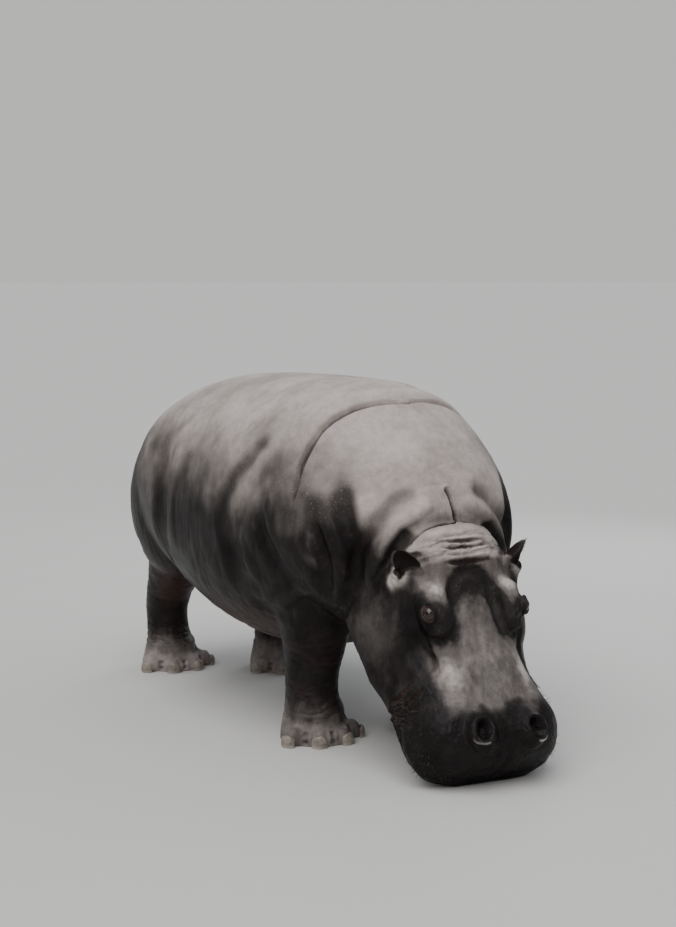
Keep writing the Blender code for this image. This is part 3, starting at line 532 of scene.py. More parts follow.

# The finer folds, lips and openings that only the skin has. A stroke that lightens the hide paints
# a highlight on its ridge or roll, and one that darkens it paints shade in its crease or hollow
FOLDS = (
    body("withers crease", -0.012, 0.04, (0.5, -0.84, 1.0), (0.49, -0.84, 1.06),
         (0.46, -0.83, 1.16), (0.4, -0.82, 1.25), (0.33, -0.82, 1.33), (0.25, -0.84, 1.38),
         (0.13, -0.87, 1.41), (0.0, -0.9, 1.41), cross=Cross.CREASE),
    body("roll behind the withers", 0.008, 0.055, (0.45, -0.77, 1.2), (0.36, -0.76, 1.34),
         (0.22, -0.79, 1.42), (0.0, -0.83, 1.45), tone=0.1),
    body("flank streak", 0.009, 0.075, (0.44, 0.09, 1.28), (0.5, 0.12, 1.19), (0.55, 0.16, 1.09),
         (0.57, 0.16, 0.98), (0.57, 0.14, 0.84), (0.55, 0.16, 0.68), tone=0.03),
    body("flank furrow", -0.01, 0.08, (0.38, 0.14, 1.37), (0.44, 0.24, 1.29), (0.48, 0.36, 1.19),
         (0.52, 0.38, 1.08), (0.55, 0.37, 0.96), (0.55, 0.36, 0.82), tone=-0.14),
    body("rump shade", 0.0, 0.22, (0.34, 0.42, 1.34), (0.42, 0.52, 1.2), (0.46, 0.6, 1.04),
         tone=-0.18),
    body("shoulder's rear ridge", 0.01, 0.055, (0.47, -0.58, 1.22), (0.5, -0.52, 1.11),
         (0.54, -0.46, 1.01), (0.55, -0.45, 0.92), (0.54, -0.49, 0.81), (0.53, -0.56, 0.72),
         (0.5, -0.6, 0.63), tone=0.04),
    body("shoulder's rear crease", -0.01, 0.065, (0.44, -0.6, 1.29), (0.47, -0.51, 1.21),
         (0.51, -0.42, 1.12), (0.55, -0.37, 1.02), (0.56, -0.35, 0.91), (0.55, -0.38, 0.78),
         (0.51, -0.43, 0.64), tone=-0.2),
    body("arm furrow", -0.01, 0.06, (0.53, -0.59, 1.02), (0.54, -0.63, 0.93), (0.53, -0.69, 0.82),
         (0.49, -0.76, 0.74), tone=-0.15),
    body("arm ridge", 0.007, 0.065, (0.52, -0.68, 1.02), (0.53, -0.71, 0.93), (0.51, -0.75, 0.83),
         tone=0.05),
    body("arm's front ridge", 0.008, 0.04, (0.49, -0.9, 0.9), (0.48, -0.93, 0.84),
         (0.44, -0.97, 0.79), (0.41, -1.01, 0.75), tone=0.09),
    body("elbow fold", 0.012, 0.05, (0.44, -0.63, 0.54), (0.45, -0.69, 0.6), (0.44, -0.75, 0.64),
         (0.43, -0.82, 0.67), (0.42, -0.89, 0.68), tone=0.04),
    body("shoulder's dark hollow", -0.006, 0.08, (0.38, -1.02, 1.16), (0.38, -1.05, 1.06),
         (0.37, -1.07, 0.96), (0.36, -1.08, 0.84), taper=1.3, tone=-0.36),
    body("shoulder's front crease", -0.012, 0.05, (0.47, -0.94, 0.98), (0.46, -0.98, 0.89),
         (0.44, -1.0, 0.79), (0.39, -0.95, 0.65), tone=-0.25),
    body("chest crease", -0.01, 0.055, (0.4, -1.02, 1.06), (0.38, -1.07, 0.96), (0.36, -1.1, 0.84),
         (0.34, -1.06, 0.7), tone=-0.22),
    body("elbow crease", -0.01, 0.05, (0.47, -0.44, 0.6), (0.46, -0.6, 0.53), (0.43, -0.76, 0.56),
         tone=-0.15),
    body("neck ridge", 0.017, 0.04, (0.05, -1.21, 1.05), (0.12, -1.2, 1.02), (0.21, -1.19, 0.96),
         (0.26, -1.16, 0.88), (0.285, -1.14, 0.81), (0.3, -1.12, 0.72), tone=0.02),
    body("neck crease", -0.011, 0.046, (0.1, -1.195, 1.09), (0.2, -1.18, 1.06),
         (0.28, -1.16, 0.98), (0.33, -1.13, 0.91), (0.35, -1.1, 0.82), (0.34, -1.09, 0.7),
         tone=-0.26),
    body("nape crease", -0.018, 0.026, (0.0, -1.243, 0.962), (0.07, -1.238, 0.957),
         (0.125, -1.232, 0.935), (0.16, -1.225, 0.905), (0.18, -1.215, 0.87), cross=Cross.CREASE,
         tone=-0.3),
    body("hollow beside the crown", -0.01, 0.07, (0.175, -1.2, 0.965), (0.2, -1.19, 0.92),
         (0.235, -1.2, 0.86), (0.24, -1.24, 0.8), taper=0.5, tone=-0.58),
    body("shoulder's front shade", 0.0, 0.16, (0.41, -0.97, 1.1), (0.44, -0.96, 1.02),
         (0.48, -0.9, 0.94), taper=0.8, tone=-0.33),
    body("nape shade", 0.0, 0.045, (0.0, -1.24, 0.968), (0.08, -1.235, 0.96), (0.17, -1.215, 0.92),
         tone=-0.25),
    body("neck shade", 0.0, 0.09, (0.29, -1.16, 0.98), (0.3, -1.16, 0.9), (0.31, -1.15, 0.82),
         taper=0.7, tone=-0.22),
    body("nape cleft", -0.024, 0.027, (-0.008, -1.192, 1.083), (0.004, -1.2, 1.06),
         (0.014, -1.22, 1.02), (0.026, -1.243, 0.97), cross=Cross.CREASE, sides=Sides.LEFT,
         taper=1.3, tone=-0.35),
    body("groin crease", -0.013, 0.05, (0.5, 0.36, 0.66), (0.45, 0.36, 0.56), (0.34, 0.34, 0.5),
         (0.2, 0.34, 0.46)),
    body("buttock crease", -0.01, 0.04, (0.14, 1.1, 0.92), (0.16, 1.08, 0.78), (0.17, 1.02, 0.66),
         cross=Cross.CREASE),
    body("tail groove", -0.013, 0.046, (0.085, 1.04, 1.14), (0.085, 1.1, 1.04),
         (0.075, 1.12, 0.94), (0.07, 1.1, 0.84), tone=-0.2),
    body("hind thigh crease", -0.009, 0.05, (0.4, 0.78, 0.66), (0.38, 0.92, 0.6),
         (0.3, 1.0, 0.56)),
    face("crown pad", 0.012, 0.085, (0.0, -0.03, 0.04), (0.1, -0.02, 0.04), (0.12, 0.06, 0.04),
         (0.0, 0.07, 0.05)),
    face("crown groove", -0.008, 0.03, (0.0, 0.04, 0.05), (0.06, 0.038, 0.05), (0.12, 0.026, 0.04),
         cross=Cross.CREASE),
    face("crown's first shade", -0.005, 0.015, (0.0, 0.041, 0.05), (0.07, 0.038, 0.05),
         (0.14, 0.022, 0.04), tone=-0.5),
    face("crown's second shade", -0.005, 0.016, (0.0, 0.069, 0.05), (0.07, 0.066, 0.05),
         (0.15, 0.048, 0.04), tone=-0.6),
    face("crown's third shade", -0.005, 0.018, (0.0, 0.097, 0.05), (0.06, 0.096, 0.05),
         (0.12, 0.086, 0.04), tone=-0.8),
    face("crown's upper shade", -0.004, 0.012, (0.0, 0.014, 0.05), (0.07, 0.011, 0.05),
         (0.15, -0.006, 0.04), tone=-0.38),
    face("crown's top shade", -0.003, 0.01, (0.0, -0.014, 0.05), (0.07, -0.017, 0.05),
         (0.14, -0.032, 0.04), tone=-0.32),
    face("crown's middle wrinkle", -0.006, 0.022, (0.0, 0.016, 0.05), (0.05, 0.014, 0.05),
         (0.09, 0.008, 0.05), cross=Cross.CREASE, tone=-0.3),
    face("crown furrow", -0.009, 0.03, (0.0, 0.068, 0.05), (0.06, 0.066, 0.05),
         (0.12, 0.055, 0.04), cross=Cross.CREASE),
    face("crown's lower wrinkle", -0.006, 0.014, (0.03, 0.054, 0.05), (0.07, 0.052, 0.05),
         (0.11, 0.042, 0.05), cross=Cross.CREASE, tone=-0.25),
    face("crown edge", -0.014, 0.036, (0.0, 0.096, 0.05), (0.05, 0.096, 0.05), (0.1, 0.09, 0.04),
         cross=Cross.CREASE),
    face("crown's first wrinkle", -0.007, 0.03, (0.0, -0.01, 0.05), (0.05, -0.012, 0.05),
         (0.11, -0.02, 0.04), cross=Cross.CREASE, tone=-0.3),
    face("crown's upper wrinkle", -0.006, 0.016, (0.02, -0.036, 0.05), (0.07, -0.038, 0.05),
         (0.1, -0.043, 0.04), cross=Cross.CREASE, tone=-0.15),
    face("pad below the ear", 0.014, 0.046, (0.255, 0.098, -0.02), (0.27, 0.108, -0.05),
         taper=0.3),
    face("forehead valley", -0.012, 0.038, (0.0, 0.125, 0.04), (0.05, 0.15, 0.04),
         (0.085, 0.2, 0.02), (0.1, 0.3, 0.01), (0.115, 0.38, 0.0)),
    face("rostrum ridge", 0.01, 0.05, (0.035, 0.25, 0.01), (0.06, 0.4, 0.0), (0.1, 0.52, 0.0),
         (0.13, 0.62, 0.0)),
    face("rostrum edge", 0.01, 0.04, (0.16, 0.42, -0.02), (0.17, 0.52, -0.02),
         (0.18, 0.62, -0.02)),
    face("brow pad", 0.009, 0.05, (0.135, 0.185, 0.05), (0.165, 0.195, 0.05), (0.19, 0.2, 0.03),
         taper=0.5),
    face("eye's front dip", -0.008, 0.045, (0.165, 0.365, 0.0), (0.18, 0.4, -0.02), taper=0.5),
    face("cheek crease", -0.014, 0.036, (0.258, 0.275, -0.06), (0.25, 0.32, -0.06),
         (0.228, 0.38, -0.07), (0.212, 0.44, -0.07), (0.206, 0.5, -0.07), taper=2.6, tone=-0.4),
    face("cheek ridge", 0.01, 0.034, (0.215, 0.345, -0.03), (0.195, 0.4, -0.04),
         (0.182, 0.45, -0.04), tone=0.12),
    face("jowl", 0.009, 0.15, (0.335, 0.1, -0.24), (0.34, 0.22, -0.22), (0.325, 0.34, -0.2),
         (0.3, 0.44, -0.18), taper=0.9, tone=0.1),
    face("jaw's rear crease", -0.016, 0.05, (0.37, 0.02, -0.18), (0.37, 0.06, -0.24),
         (0.36, 0.1, -0.31), (0.36, 0.16, -0.36), tone=-0.35),
    face("mouth's corner fold", -0.014, 0.026, (0.255, 0.535, -0.1), (0.285, 0.575, -0.16),
         (0.3, 0.59, -0.23), (0.29, 0.57, -0.29), cross=Cross.CREASE),
    face("mouth's rear fold", -0.009, 0.024, (0.27, 0.5, -0.13), (0.305, 0.535, -0.19),
         (0.32, 0.55, -0.26), cross=Cross.CREASE),
    face("lip roll", 0.01, 0.036, (0.29, 0.62, -0.15), (0.305, 0.7, -0.19), (0.28, 0.8, -0.2),
         (0.17, 0.87, -0.2), (0.0, 0.885, -0.19)),
    face("mouth", -0.02, 0.024, (0.315, 0.56, -0.25), (0.305, 0.66, -0.245), (0.285, 0.76, -0.235),
         (0.22, 0.85, -0.225), (0.11, 0.89, -0.215), (0.0, 0.9, -0.21), cross=Cross.CREASE),
    face("jaw fold", -0.009, 0.045, (0.36, 0.16, -0.34), (0.37, 0.3, -0.36), (0.34, 0.44, -0.33),
         tone=-0.1),
    face("throat fold", -0.012, 0.036, (0.34, 0.05, -0.42), (0.22, 0.09, -0.48),
         (0.08, 0.1, -0.49), (0.0, 0.1, -0.49), cross=Cross.CREASE),
    face("muzzle's midline", -0.005, 0.03, (0.0, 0.7, 0.03), (0.0, 0.8, 0.02), (0.0, 0.87, -0.06),
         (0.0, 0.89, -0.14)),
)

BEHIND_TOE = math.radians(30)   # how far behind the outer toes the foot is filled out


def nostril_strokes() -> tuple[Stroke, ...]:
    """Each nostril's opening, darkened as painted shade, and the thin lip along its outer edge,
    lightened as a painted highlight.

    Returns:
        The strokes of both nostrils.
    """
    made = []
    for sides, w, u in ((Sides.RIGHT, 0.114, 0.752), (Sides.LEFT, 0.119, 0.772)):
        made += [
            face("nostril swelling", 0.013, 0.085, (w, u, 0.04), sides=sides),
            face("nostril lip", 0.006, 0.012, (w - 0.006, u - 0.04, 0.04),
                 (w + 0.018, u - 0.034, 0.04), (w + 0.037, u - 0.016, 0.03),
                 (w + 0.041, u + 0.01, 0.03), (w + 0.03, u + 0.036, 0.02),
                 (w + 0.006, u + 0.047, 0.02), (w - 0.018, u + 0.042, 0.02),
                 sides=sides, tone=0.6),
            face("nostril", -0.048, 0.038, (w - 0.004, u - 0.008, 0.045),
                 (w + 0.003, u + 0.014, 0.04), cross=Cross.PIT, sides=sides, taper=0.0,
                 tone=-0.8)]
    return tuple(made)


def toe_strokes() -> tuple[Stroke, ...]:
    """A swelling over each toe, a cleft between each pair, and a fold round the ankle.

    Returns:
        The strokes of all four feet.
    """
    made = []
    for leg in LEGS:
        sides = Sides.LEFT if leg.x > 0 else Sides.RIGHT
        middle = Vector((abs(leg.x), leg.y - leg.pad, 0))
        turns = [math.copysign(1, leg.x) * math.radians(t) for t in leg.toe_turns]
        between = [(a + b) / 2 for a, b in zip(turns, turns[1:])]
        behind = [t + math.copysign(BEHIND_TOE, t) for t in (turns[0], turns[-1])]
        # Each line's distance out and height, from low to high
        heel = ((0.15, 0.0), (0.15, 0.04), (0.14, 0.08))
        knuckle = ((0.168, 0.058), (0.152, 0.085))
        gap = ((0.172, 0.0), (0.168, 0.04), (0.155, 0.07))
        rows = [(t, heel, 0.016, 0.06, 0.0) for t in behind]
        # Each toe's swelling is lightened as a painted highlight, and each cleft between toes
        # darkened as painted shade
        rows += [(t, knuckle, 0.01, 0.036, 0.12) for t in turns]
        rows += [(t, gap, 0.01, 0.036, 0.0) for t in between]
        rows += [(t, gap, -0.014, 0.016, -0.35) for t in between]
        for turn, spots, height, reach, tone in rows:
            out = Vector((math.sin(turn), -math.cos(turn), 0))
            path = [tuple(middle + out * far + Vector((0, 0, z))) for far, z in spots]
            made.append(Stroke("toe", Place.BODY, height, reach, tuple(path), Cross.SWELL,
                               sides, 1.0, tone))
        for z, far, height, reach in ((0.102, 0.155, -0.006, 0.026),
                                      (0.142, 0.14, 0.007, 0.04)):
            ring = [middle + Vector((math.sin(a) * far, -math.cos(a) * far,
                                     z + 0.008 * math.cos(5 * a)))
                    for a in np.linspace(-2.0, 2.0, 9)]
            made.append(Stroke("ankle", Place.BODY, height, reach,
                               tuple(tuple(p) for p in ring), sides=sides))
    return tuple(made)


# -------- pressing folds

def read(items: bpy.types.bpy_prop_collection, what: str, kind: type = np.int32,
         width: int = 1) -> np.ndarray:
    """Reads a property of every vertex, edge or face.

    Args:
        items: The vertices, edges or faces.
        what: The property's name.
        kind: The kind of number that it holds.
        width: How many numbers each item has.

    Returns:
        A number for each item, or a row of numbers.
    """
    flat = np.empty(len(items) * width, kind)
    items.foreach_get(what, flat)
    return flat if width == 1 else flat.reshape(-1, width)


def read_points(mesh: Mesh) -> np.ndarray:
    """The places of a mesh's vertices."""
    return read(mesh.vertices, "co", np.float32, 3).astype(float)


def write_points(mesh: Mesh, points: np.ndarray) -> None:
    """Moves a mesh's vertices to new places."""
    mesh.vertices.foreach_set("co", points.astype(np.float32).ravel())
    mesh.update()


def read_normals(mesh: Mesh) -> np.ndarray:
    """The directions in which a mesh's vertices face."""
    return read(mesh.vertex_normals, "vector", np.float32, 3).astype(float)


def cloud(points: np.ndarray, cell: float | Point, seed: int = 0) -> np.ndarray:
    """Smooth noise from about -1 to 1.

    Args:
        points: The places to read it at.
        cell: The size of its lumps, or their size along each axis.
        seed: Which of many such noises to read.

    Returns:
        One number for each place.
    """
    spread = points / np.asarray(cell, float) + 17.3 * (seed + 1)
    base = np.floor(spread).astype(np.int64)
    t = spread - base
    t = t * t * (3 - 2 * t)
    total = np.zeros(len(points))
    for corner in range(8):
        bits = np.array([corner & 1, corner >> 1 & 1, corner >> 2 & 1])
        key = (base + bits) @ np.array([73856093, 19349663, 83492791])
        key = (key ^ (key >> 13)) * 1274126177 & 0x7fffffff
        key = (key ^ (key >> 15)) * 668265263 & 0x7fffffff
        weight = np.prod(np.where(bits == 1, t, 1 - t), axis=1)
        total += weight * ((key % 65521) / 32760.5 - 1)
    return total


def cracks(points: np.ndarray, cell: float | Point, width: float, seed: int = 0) -> np.ndarray:
    """Thin branching lines: 1 on a line, falling to 0 beside it."""
    slope = cloud(points, cell, seed) + 0.35 * cloud(points, np.asarray(cell) * 0.45, seed + 9)
    return np.exp(-(slope / width) ** 2)


def weights_along(points: np.ndarray, path: np.ndarray, stroke: Stroke,
                  ends: tuple[bool, bool]) -> np.ndarray:
    """How strongly a stroke works at each point, lips included.

    Args:
        points: Places on the skin.
        path: The stroke's line on the skin.
        stroke: The stroke itself.
        ends: Whether the line's first and last ends fade out.

    Returns:
        1 in the middle of the line; below 0 where the skin moves the other way.
    """
    best = np.full(len(points), np.inf)
    where = np.zeros(len(points))
    spans = np.linalg.norm(np.diff(path, axis=0), axis=1)
    start = np.concatenate([[0], np.cumsum(spans)])
    for a, b, span, begun in zip(path, path[1:], spans, start):
        t = np.clip((points - a) @ (b - a) / max(span ** 2, 1e-12), 0, 1)
        far = np.linalg.norm(points - a - t[:, None] * (b - a), axis=1)
        nearer = far < best
        best[nearer] = far[nearer]
        where[nearer] = begun + t[nearer] * span
    taper = max(stroke.taper * stroke.reach, 1e-9)
    fade = np.ones(len(points))
    if stroke.taper and start[-1] > 0:
        first = smoothstep(0, taper, where) if ends[0] else fade
        last = smoothstep(0, taper, start[-1] - where) if ends[1] else fade
        fade = first * last
    x = best / stroke.reach
    if stroke.cross is Cross.SWELL:
        return (1 - np.minimum(x, 1) ** 2) ** 2 * fade
    if stroke.cross is Cross.PIT:
        return (1 - smoothstep(0.45, 1.0, x)) * fade
    groove = np.exp(-(3.6 * x) ** 2)
    lips = 0.42 * np.exp(-((x - 0.62) / 0.26) ** 2)
    return np.where(x < 1.6, groove - lips, 0) * fade


@dataclass
class Sculptor:
    """Presses strokes into a mesh and remembers where the skin is creased."""

    obj: Object
    axes: HeadAxes
    shift: Vector

    def press(self, strokes: tuple[Stroke, ...],
              waver: float = 0.0) -> tuple[np.ndarray, np.ndarray]:
        """Lays each stroke on the surface, in turn.

        Args:
            strokes: The strokes of this layer.
            waver: How far the lines stray from their paths, for a natural look.

        Returns:
            How deep each vertex lies in a crease, from 0 to 1, and how much painted highlight or
            shade it has.
        """
        mesh = self.obj.data
        points = read_points(mesh)
        normals = read_normals(mesh)
        bm = bmesh.new()
        bm.from_mesh(mesh)
        surface = BVHTree.FromBMesh(bm)
        bm.free()
        place = self.axes.matrix()
        stray = np.column_stack([cloud(points, 0.06, s) for s in (1, 2, 3)]) * waver
        depth, tone = np.zeros(len(points)), np.zeros(len(points))
        for stroke in strokes:
            dense = catmull(stroke.path, 5) if len(stroke.path) > 1 else [stroke.path[0]] * 2
            ends = (abs(dense[0][0]) > 0.03, abs(dense[-1][0]) > 0.03)
            lift = np.zeros(len(points))
            for side in stroke.sides.value:
                line = [Vector((side * x, y, z)) for x, y, z in dense]
                if stroke.place is Place.HEAD:
                    line = [place @ p for p in line]
                line = np.array([surface.find_nearest(p + self.shift)[0] for p in line])
                room = stroke.reach * 1.7
                near = np.all((points > line.min(0) - room) & (points < line.max(0) + room), 1)
                here = weights_along(points[near] + stray[near], line, stroke, ends)
                held = lift[near]
                lift[near] = np.where(np.abs(here) > np.abs(held), here, held)
            points += normals * (stroke.height * lift)[:, None]
            tone += stroke.tone * np.clip(lift, 0, 1)
            if stroke.cross is not Cross.SWELL:
                depth = np.maximum(depth, lift)
        write_points(mesh, points)
        return np.clip(depth, 0, 1), tone


# -------- the skin

def edges_of(mesh: Mesh) -> np.ndarray:
    """The pairs of vertices that a mesh's edges join."""
    return read(mesh.edges, "vertices", width=2)


def relax(points: np.ndarray, edges: np.ndarray, weight: np.ndarray, passes: int) -> np.ndarray:
    """Draws points towards the middle of their neighbours.

    Args:
        points: The places of the vertices.
        edges: The pairs that are joined.
        weight: How far each point moves in a pass, from 0 to 1.
        passes: How many passes are made.

    Returns:
        The new places.
    """
    count = len(points)
    a, b = edges.T
    valence = np.maximum(np.bincount(np.concatenate([a, b]), minlength=count), 1)
    for _ in range(passes):
        mean = np.column_stack([
            np.bincount(a, points[b, k], count) + np.bincount(b, points[a, k], count)
            for k in range(3)]) / valence[:, None]
        points = points + (mean - points) * weight[:, None]
    return points


@dataclass(frozen=True)
class EyeFrame:
    """The place of one eye and the directions round it."""

    side: Side
    centre: Vector
    radius: float
    axis: Vector        # the way the eye looks
    front: Vector       # along the opening, towards the muzzle
    upper: Vector       # across the opening, towards the upper lid

    @staticmethod
    def of(side: Side, axes: HeadAxes) -> "EyeFrame":
        """Reads an eye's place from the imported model.

        Args:
            side: The eye's side.
            axes: The head's axes.

        Returns:
            The eye's frame.
        """
        low, high = (Vector(v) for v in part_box(f"eye_{side.name.lower()}"))
        turn = axes.matrix().to_3x3()
        axis = (turn @ Vector((side.value * 0.8, 0.22, 0.56))).normalized()
        front = turn @ Vector((side.value * -0.3, 0.95, -0.1))
        front = (front - front.dot(axis) * axis).normalized()
        upper = axis.cross(front) * side.value
        return EyeFrame(side, (low + high) / 2, (high.x - low.x) / 2, axis, front, upper)


@dataclass
class Lids:
    """Heavy upper and thin lower lid, wrapped closely round an eyeball."""

    long: float = math.radians(66)      # from the middle of the opening to its corners
    upper: float = math.radians(40)
    lower: float = math.radians(42)
    sink: float = 0.006                 # skin behind the opening lies this far under the ball
    edge: float = 0.0022                # lid edge above the ball
    upper_roll: float = 0.0062
    lower_roll: float = 0.004
    span: tuple[float, float] = (0.015, 0.032)

    def wrap(self, points: np.ndarray, eye: EyeFrame) -> tuple[np.ndarray, ...]:
        """Moves the skin near one eye into lids.

        Args:
            points: The skin's vertices.
            eye: The eye that they close round.

        Returns:
            The new places, how wet and red each vertex is, and how much painted highlight lies on
            the lid's roll.
        """
        offset = points - np.array(eye.centre)
        radius = np.linalg.norm(offset, axis=1)
        near = radius < 0.085
        away = offset[near] / radius[near][:, None]
        ahead, up = away @ np.array(eye.front), away @ np.array(eye.upper)
        theta = np.arccos(np.clip(away @ np.array(eye.axis), -1, 1))
        flat = np.maximum(np.hypot(ahead, up), 1e-9)
        c, s = np.abs(ahead) / flat, up / flat
        short = np.where(s > 0, self.upper, self.lower)
        opening = ((c / self.long) ** 1.6 + (np.abs(s) / short) ** 1.6) ** (-1 / 1.6)
        out = (theta - opening) * eye.radius
        upness = smoothstep(-0.35, 0.45, s)
        roll = self.lower_roll + (self.upper_roll - self.lower_roll) * upness
        ball = eye.radius
        target = ball - self.sink + (self.sink + self.edge) * smoothstep(-0.003, 0.0004, out)
        target += 0.003 * smoothstep(0.001, 0.006, out)
        target += roll * np.exp(-((out - 0.0055) / 0.0042) ** 2)
        fold = np.exp(-((out - 0.013) / 0.0026) ** 2)
        target += upness * 0.007 * smoothstep(0.011, 0.018, out) - 0.002 * fold
        target -= 0.0024 * upness * np.exp(-((out - 0.0225) / 0.0024) ** 2)
        held = 1 - smoothstep(*self.span, out)
        made = radius[near] * (1 - held) + target * held
        moved = points.copy()
        moved[near] = np.array(eye.centre) + away * made[:, None]
        rim, bright = np.zeros(len(points)), np.zeros(len(points))
        rim[near] = np.exp(-((out + 0.0005) / 0.0022) ** 2)
        behind = smoothstep(0.55, -0.25, ahead / flat)
        # A painted highlight along the lid's roll, strongest behind the eye
        bright[near] = np.exp(-((out - 0.005) / 0.0038) ** 2) * (0.25 + 0.75 * behind)
        return moved, rim, bright


@dataclass
class Muscles:
    """The masses of the shoulders and the haunches."""

    # distance out, y, z, then three radii
    rows: Rows = field(default_factory=lambda: [
        (0.33, -0.56, 0.86, 0.205, 0.3, 0.38), (0.27, 0.72, 0.84, 0.2, 0.32, 0.38)])

    def add(self, bm: BMesh) -> None:
        """Adds the masses of both sides to a mesh.

        Args:
            bm: The mesh that takes it.
        """
        for x, y, z, *radii in self.rows:
            for side in Sides.BOTH.value:
                add_ball(bm, Vector((side * x, y, z)), tuple(radii))


@dataclass
class Skin:
    """One skin over trunk, neck, head, jaw, tail, ears, legs and feet."""

    axes: HeadAxes
    shift: Vector
    eyes: tuple[EyeFrame, EyeFrame]
    voxel: float = 0.01
    rounding: int = 8
    widths: tuple[float, ...] = (0.0055, 0.003, 0.0016)    # wider faces are divided, in turn
    obj: Object | None = None
    crease: np.ndarray | None = None
    # shade holds the strokes' painted highlights and painted shade, roll a painted highlight on
    # the lids' rolls
    shade: np.ndarray | None = None
    rim: np.ndarray | None = None
    roll: np.ndarray | None = None

    def build(self) -> Object:
        """Grows the skin and presses every fold into it.

        Returns:
            The skin.
        """
        self.fuse()
        Sculptor(self.obj, self.axes, self.shift).press(MODELLING)
        self.graft()
        self.stand()
        self.refine()
        self.relieve()
        strokes = FOLDS + nostril_strokes() + toe_strokes()
        sculptor = Sculptor(self.obj, self.axes, self.shift)
        self.crease, self.shade = sculptor.press(strokes, 0.004)
        self.wrinkle()
        self.close_lids()
        self.mark()
        self.obj.data.shade_smooth()
        return self.obj

    def fuse(self) -> None:
        """Fuses the masses into one rounded body."""
        bm = bmesh.new()
        for mass in (Trunk(), Neck(), Skull(self.axes), Muscles(), *LEGS):
            mass.add(bm)
        self.obj = link("skin", bm)
        remesh = self.obj.modifiers.new("fuse", "REMESH")
        remesh.mode = "VOXEL"
        remesh.voxel_size = self.voxel
        smooth = self.obj.modifiers.new("round", "SMOOTH")
        smooth.factor = 0.5
        smooth.iterations = self.rounding
        settle(self.obj)
        self.obj.data.transform(Matrix.Translation(self.shift))
        LOG.info("skin fused: %d faces", len(self.obj.data.polygons))

    def graft(self) -> None:
        """Joins the ears and the tail to the body."""
        bm = bmesh.new()
        for part in (Ear(Side.RIGHT, self.axes), Ear(Side.LEFT, self.axes), Tail()):
            part.add(bm)
        bmesh.ops.translate(bm, vec=self.shift, verts=bm.verts)
        tool = link("grafts", bm)
        for index, obj in enumerate((self.obj, tool)):
            obj.data.materials.append(bpy.data.materials.new("flesh"))
            obj.data.materials.append(bpy.data.materials.new("graft"))
            marks = np.full(len(obj.data.polygons), index, np.int32)
            obj.data.polygons.foreach_set("material_index", marks)
        union = self.obj.modifiers.new("join", "BOOLEAN")
        union.operation = "UNION"
        union.solver = "EXACT"
        union.material_mode = "INDEX"
        union.object = tool
        settle(self.obj)
        bpy.data.objects.remove(tool)

    def stand(self) -> None:
        """Cuts the soles level with the floor."""
        bm = bmesh.new()
        bm.from_mesh(self.obj.data)
        bmesh.ops.bisect_plane(bm, geom=[*bm.verts, *bm.edges, *bm.faces], dist=1e-6,
                               plane_co=(0, 0, 0), plane_no=(0, 0, -1), clear_outer=True)
        rims = [e for e in bm.edges if e.is_boundary]
        bmesh.ops.holes_fill(bm, edges=rims, sides=0)
        bm.to_mesh(self.obj.data)
        bm.free()

    def in_head(self, points: np.ndarray) -> np.ndarray:
        """Points in the head's own axes."""
        return self.axes.inside(points - np.array(self.shift))

    def refine(self) -> None:
        """Divides the faces of head, feet, creases, and most of all round eyes and nostrils."""
        bm = bmesh.new()
        bm.from_mesh(self.obj.data)
        lines = KDTree(sum(len(s.path) * 12 for s in FOLDS) * 2)
        place = self.axes.matrix()
        for stroke in FOLDS:
            if stroke.cross is Cross.SWELL:
                continue
            for side in stroke.sides.value:
                for x, y, z in catmull(stroke.path, 10):
                    p = Vector((side * x, y, z))
                    p = place @ p if stroke.place is Place.HEAD else p
                    lines.insert(p + self.shift, 0)
        lines.balance()
        nostrils = [place @ Vector((side.value * 0.118, 0.775, 0.035)) + self.shift
                    for side in Side]
        for level, width in enumerate(self.widths):
            bm.faces.ensure_lookup_table()
            middles = np.array([f.calc_center_median() for f in bm.faces])
            wide = np.sqrt(np.array([f.calc_area() for f in bm.faces])) > width
            head = self.in_head(middles)
            if level == 0:
                wanted = (head[:, 1] > -0.1) & (head[:, 2] > -0.55) | (middles[:, 2] < 0.24)
                far = np.nonzero(wide & ~wanted)[0]
                close = [lines.find(middles[i])[2] < 0.045 for i in far]
                wanted[far] = close
            else:
                spots = [(eye.centre, 0.075 if level == 1 else 0.05) for eye in self.eyes]
                spots += [(spot, 0.055) for spot in nostrils] if level == 1 else []
                wanted = np.zeros(len(middles), bool)
                for spot, reach in spots:
                    wanted |= np.linalg.norm(middles - np.array(spot), axis=1) < reach
            wanted &= wide & (middles[:, 2] > GROUND)
            # A dict keeps its order and a set doesn't, and each run has to give the same mesh
            chosen = dict.fromkeys(e for i in np.nonzero(wanted)[0] for e in bm.faces[i].edges)
            bmesh.ops.subdivide_edges(bm, edges=list(chosen), cuts=1, use_grid_fill=True)
            soft = dict.fromkeys(v for e in chosen if e.is_valid for v in e.verts
                                 if v.co.z > GROUND)
            ring = [e.other_vert(v) for v in soft for e in v.link_edges]
            soft = [v for v in dict.fromkeys([*soft, *ring]) if v.co.z > GROUND]
            for _ in range(3):
                bmesh.ops.smooth_vert(bm, verts=soft, factor=0.5, use_axis_x=True,
                                      use_axis_y=True, use_axis_z=True)
        big = [f for f in bm.faces if len(f.verts) > 4 and f.calc_center_median().z > GROUND]
        bmesh.ops.triangulate(bm, faces=big)
        bm.to_mesh(self.obj.data)
        bm.free()
        LOG.info("skin refined: %d faces", len(self.obj.data.polygons))

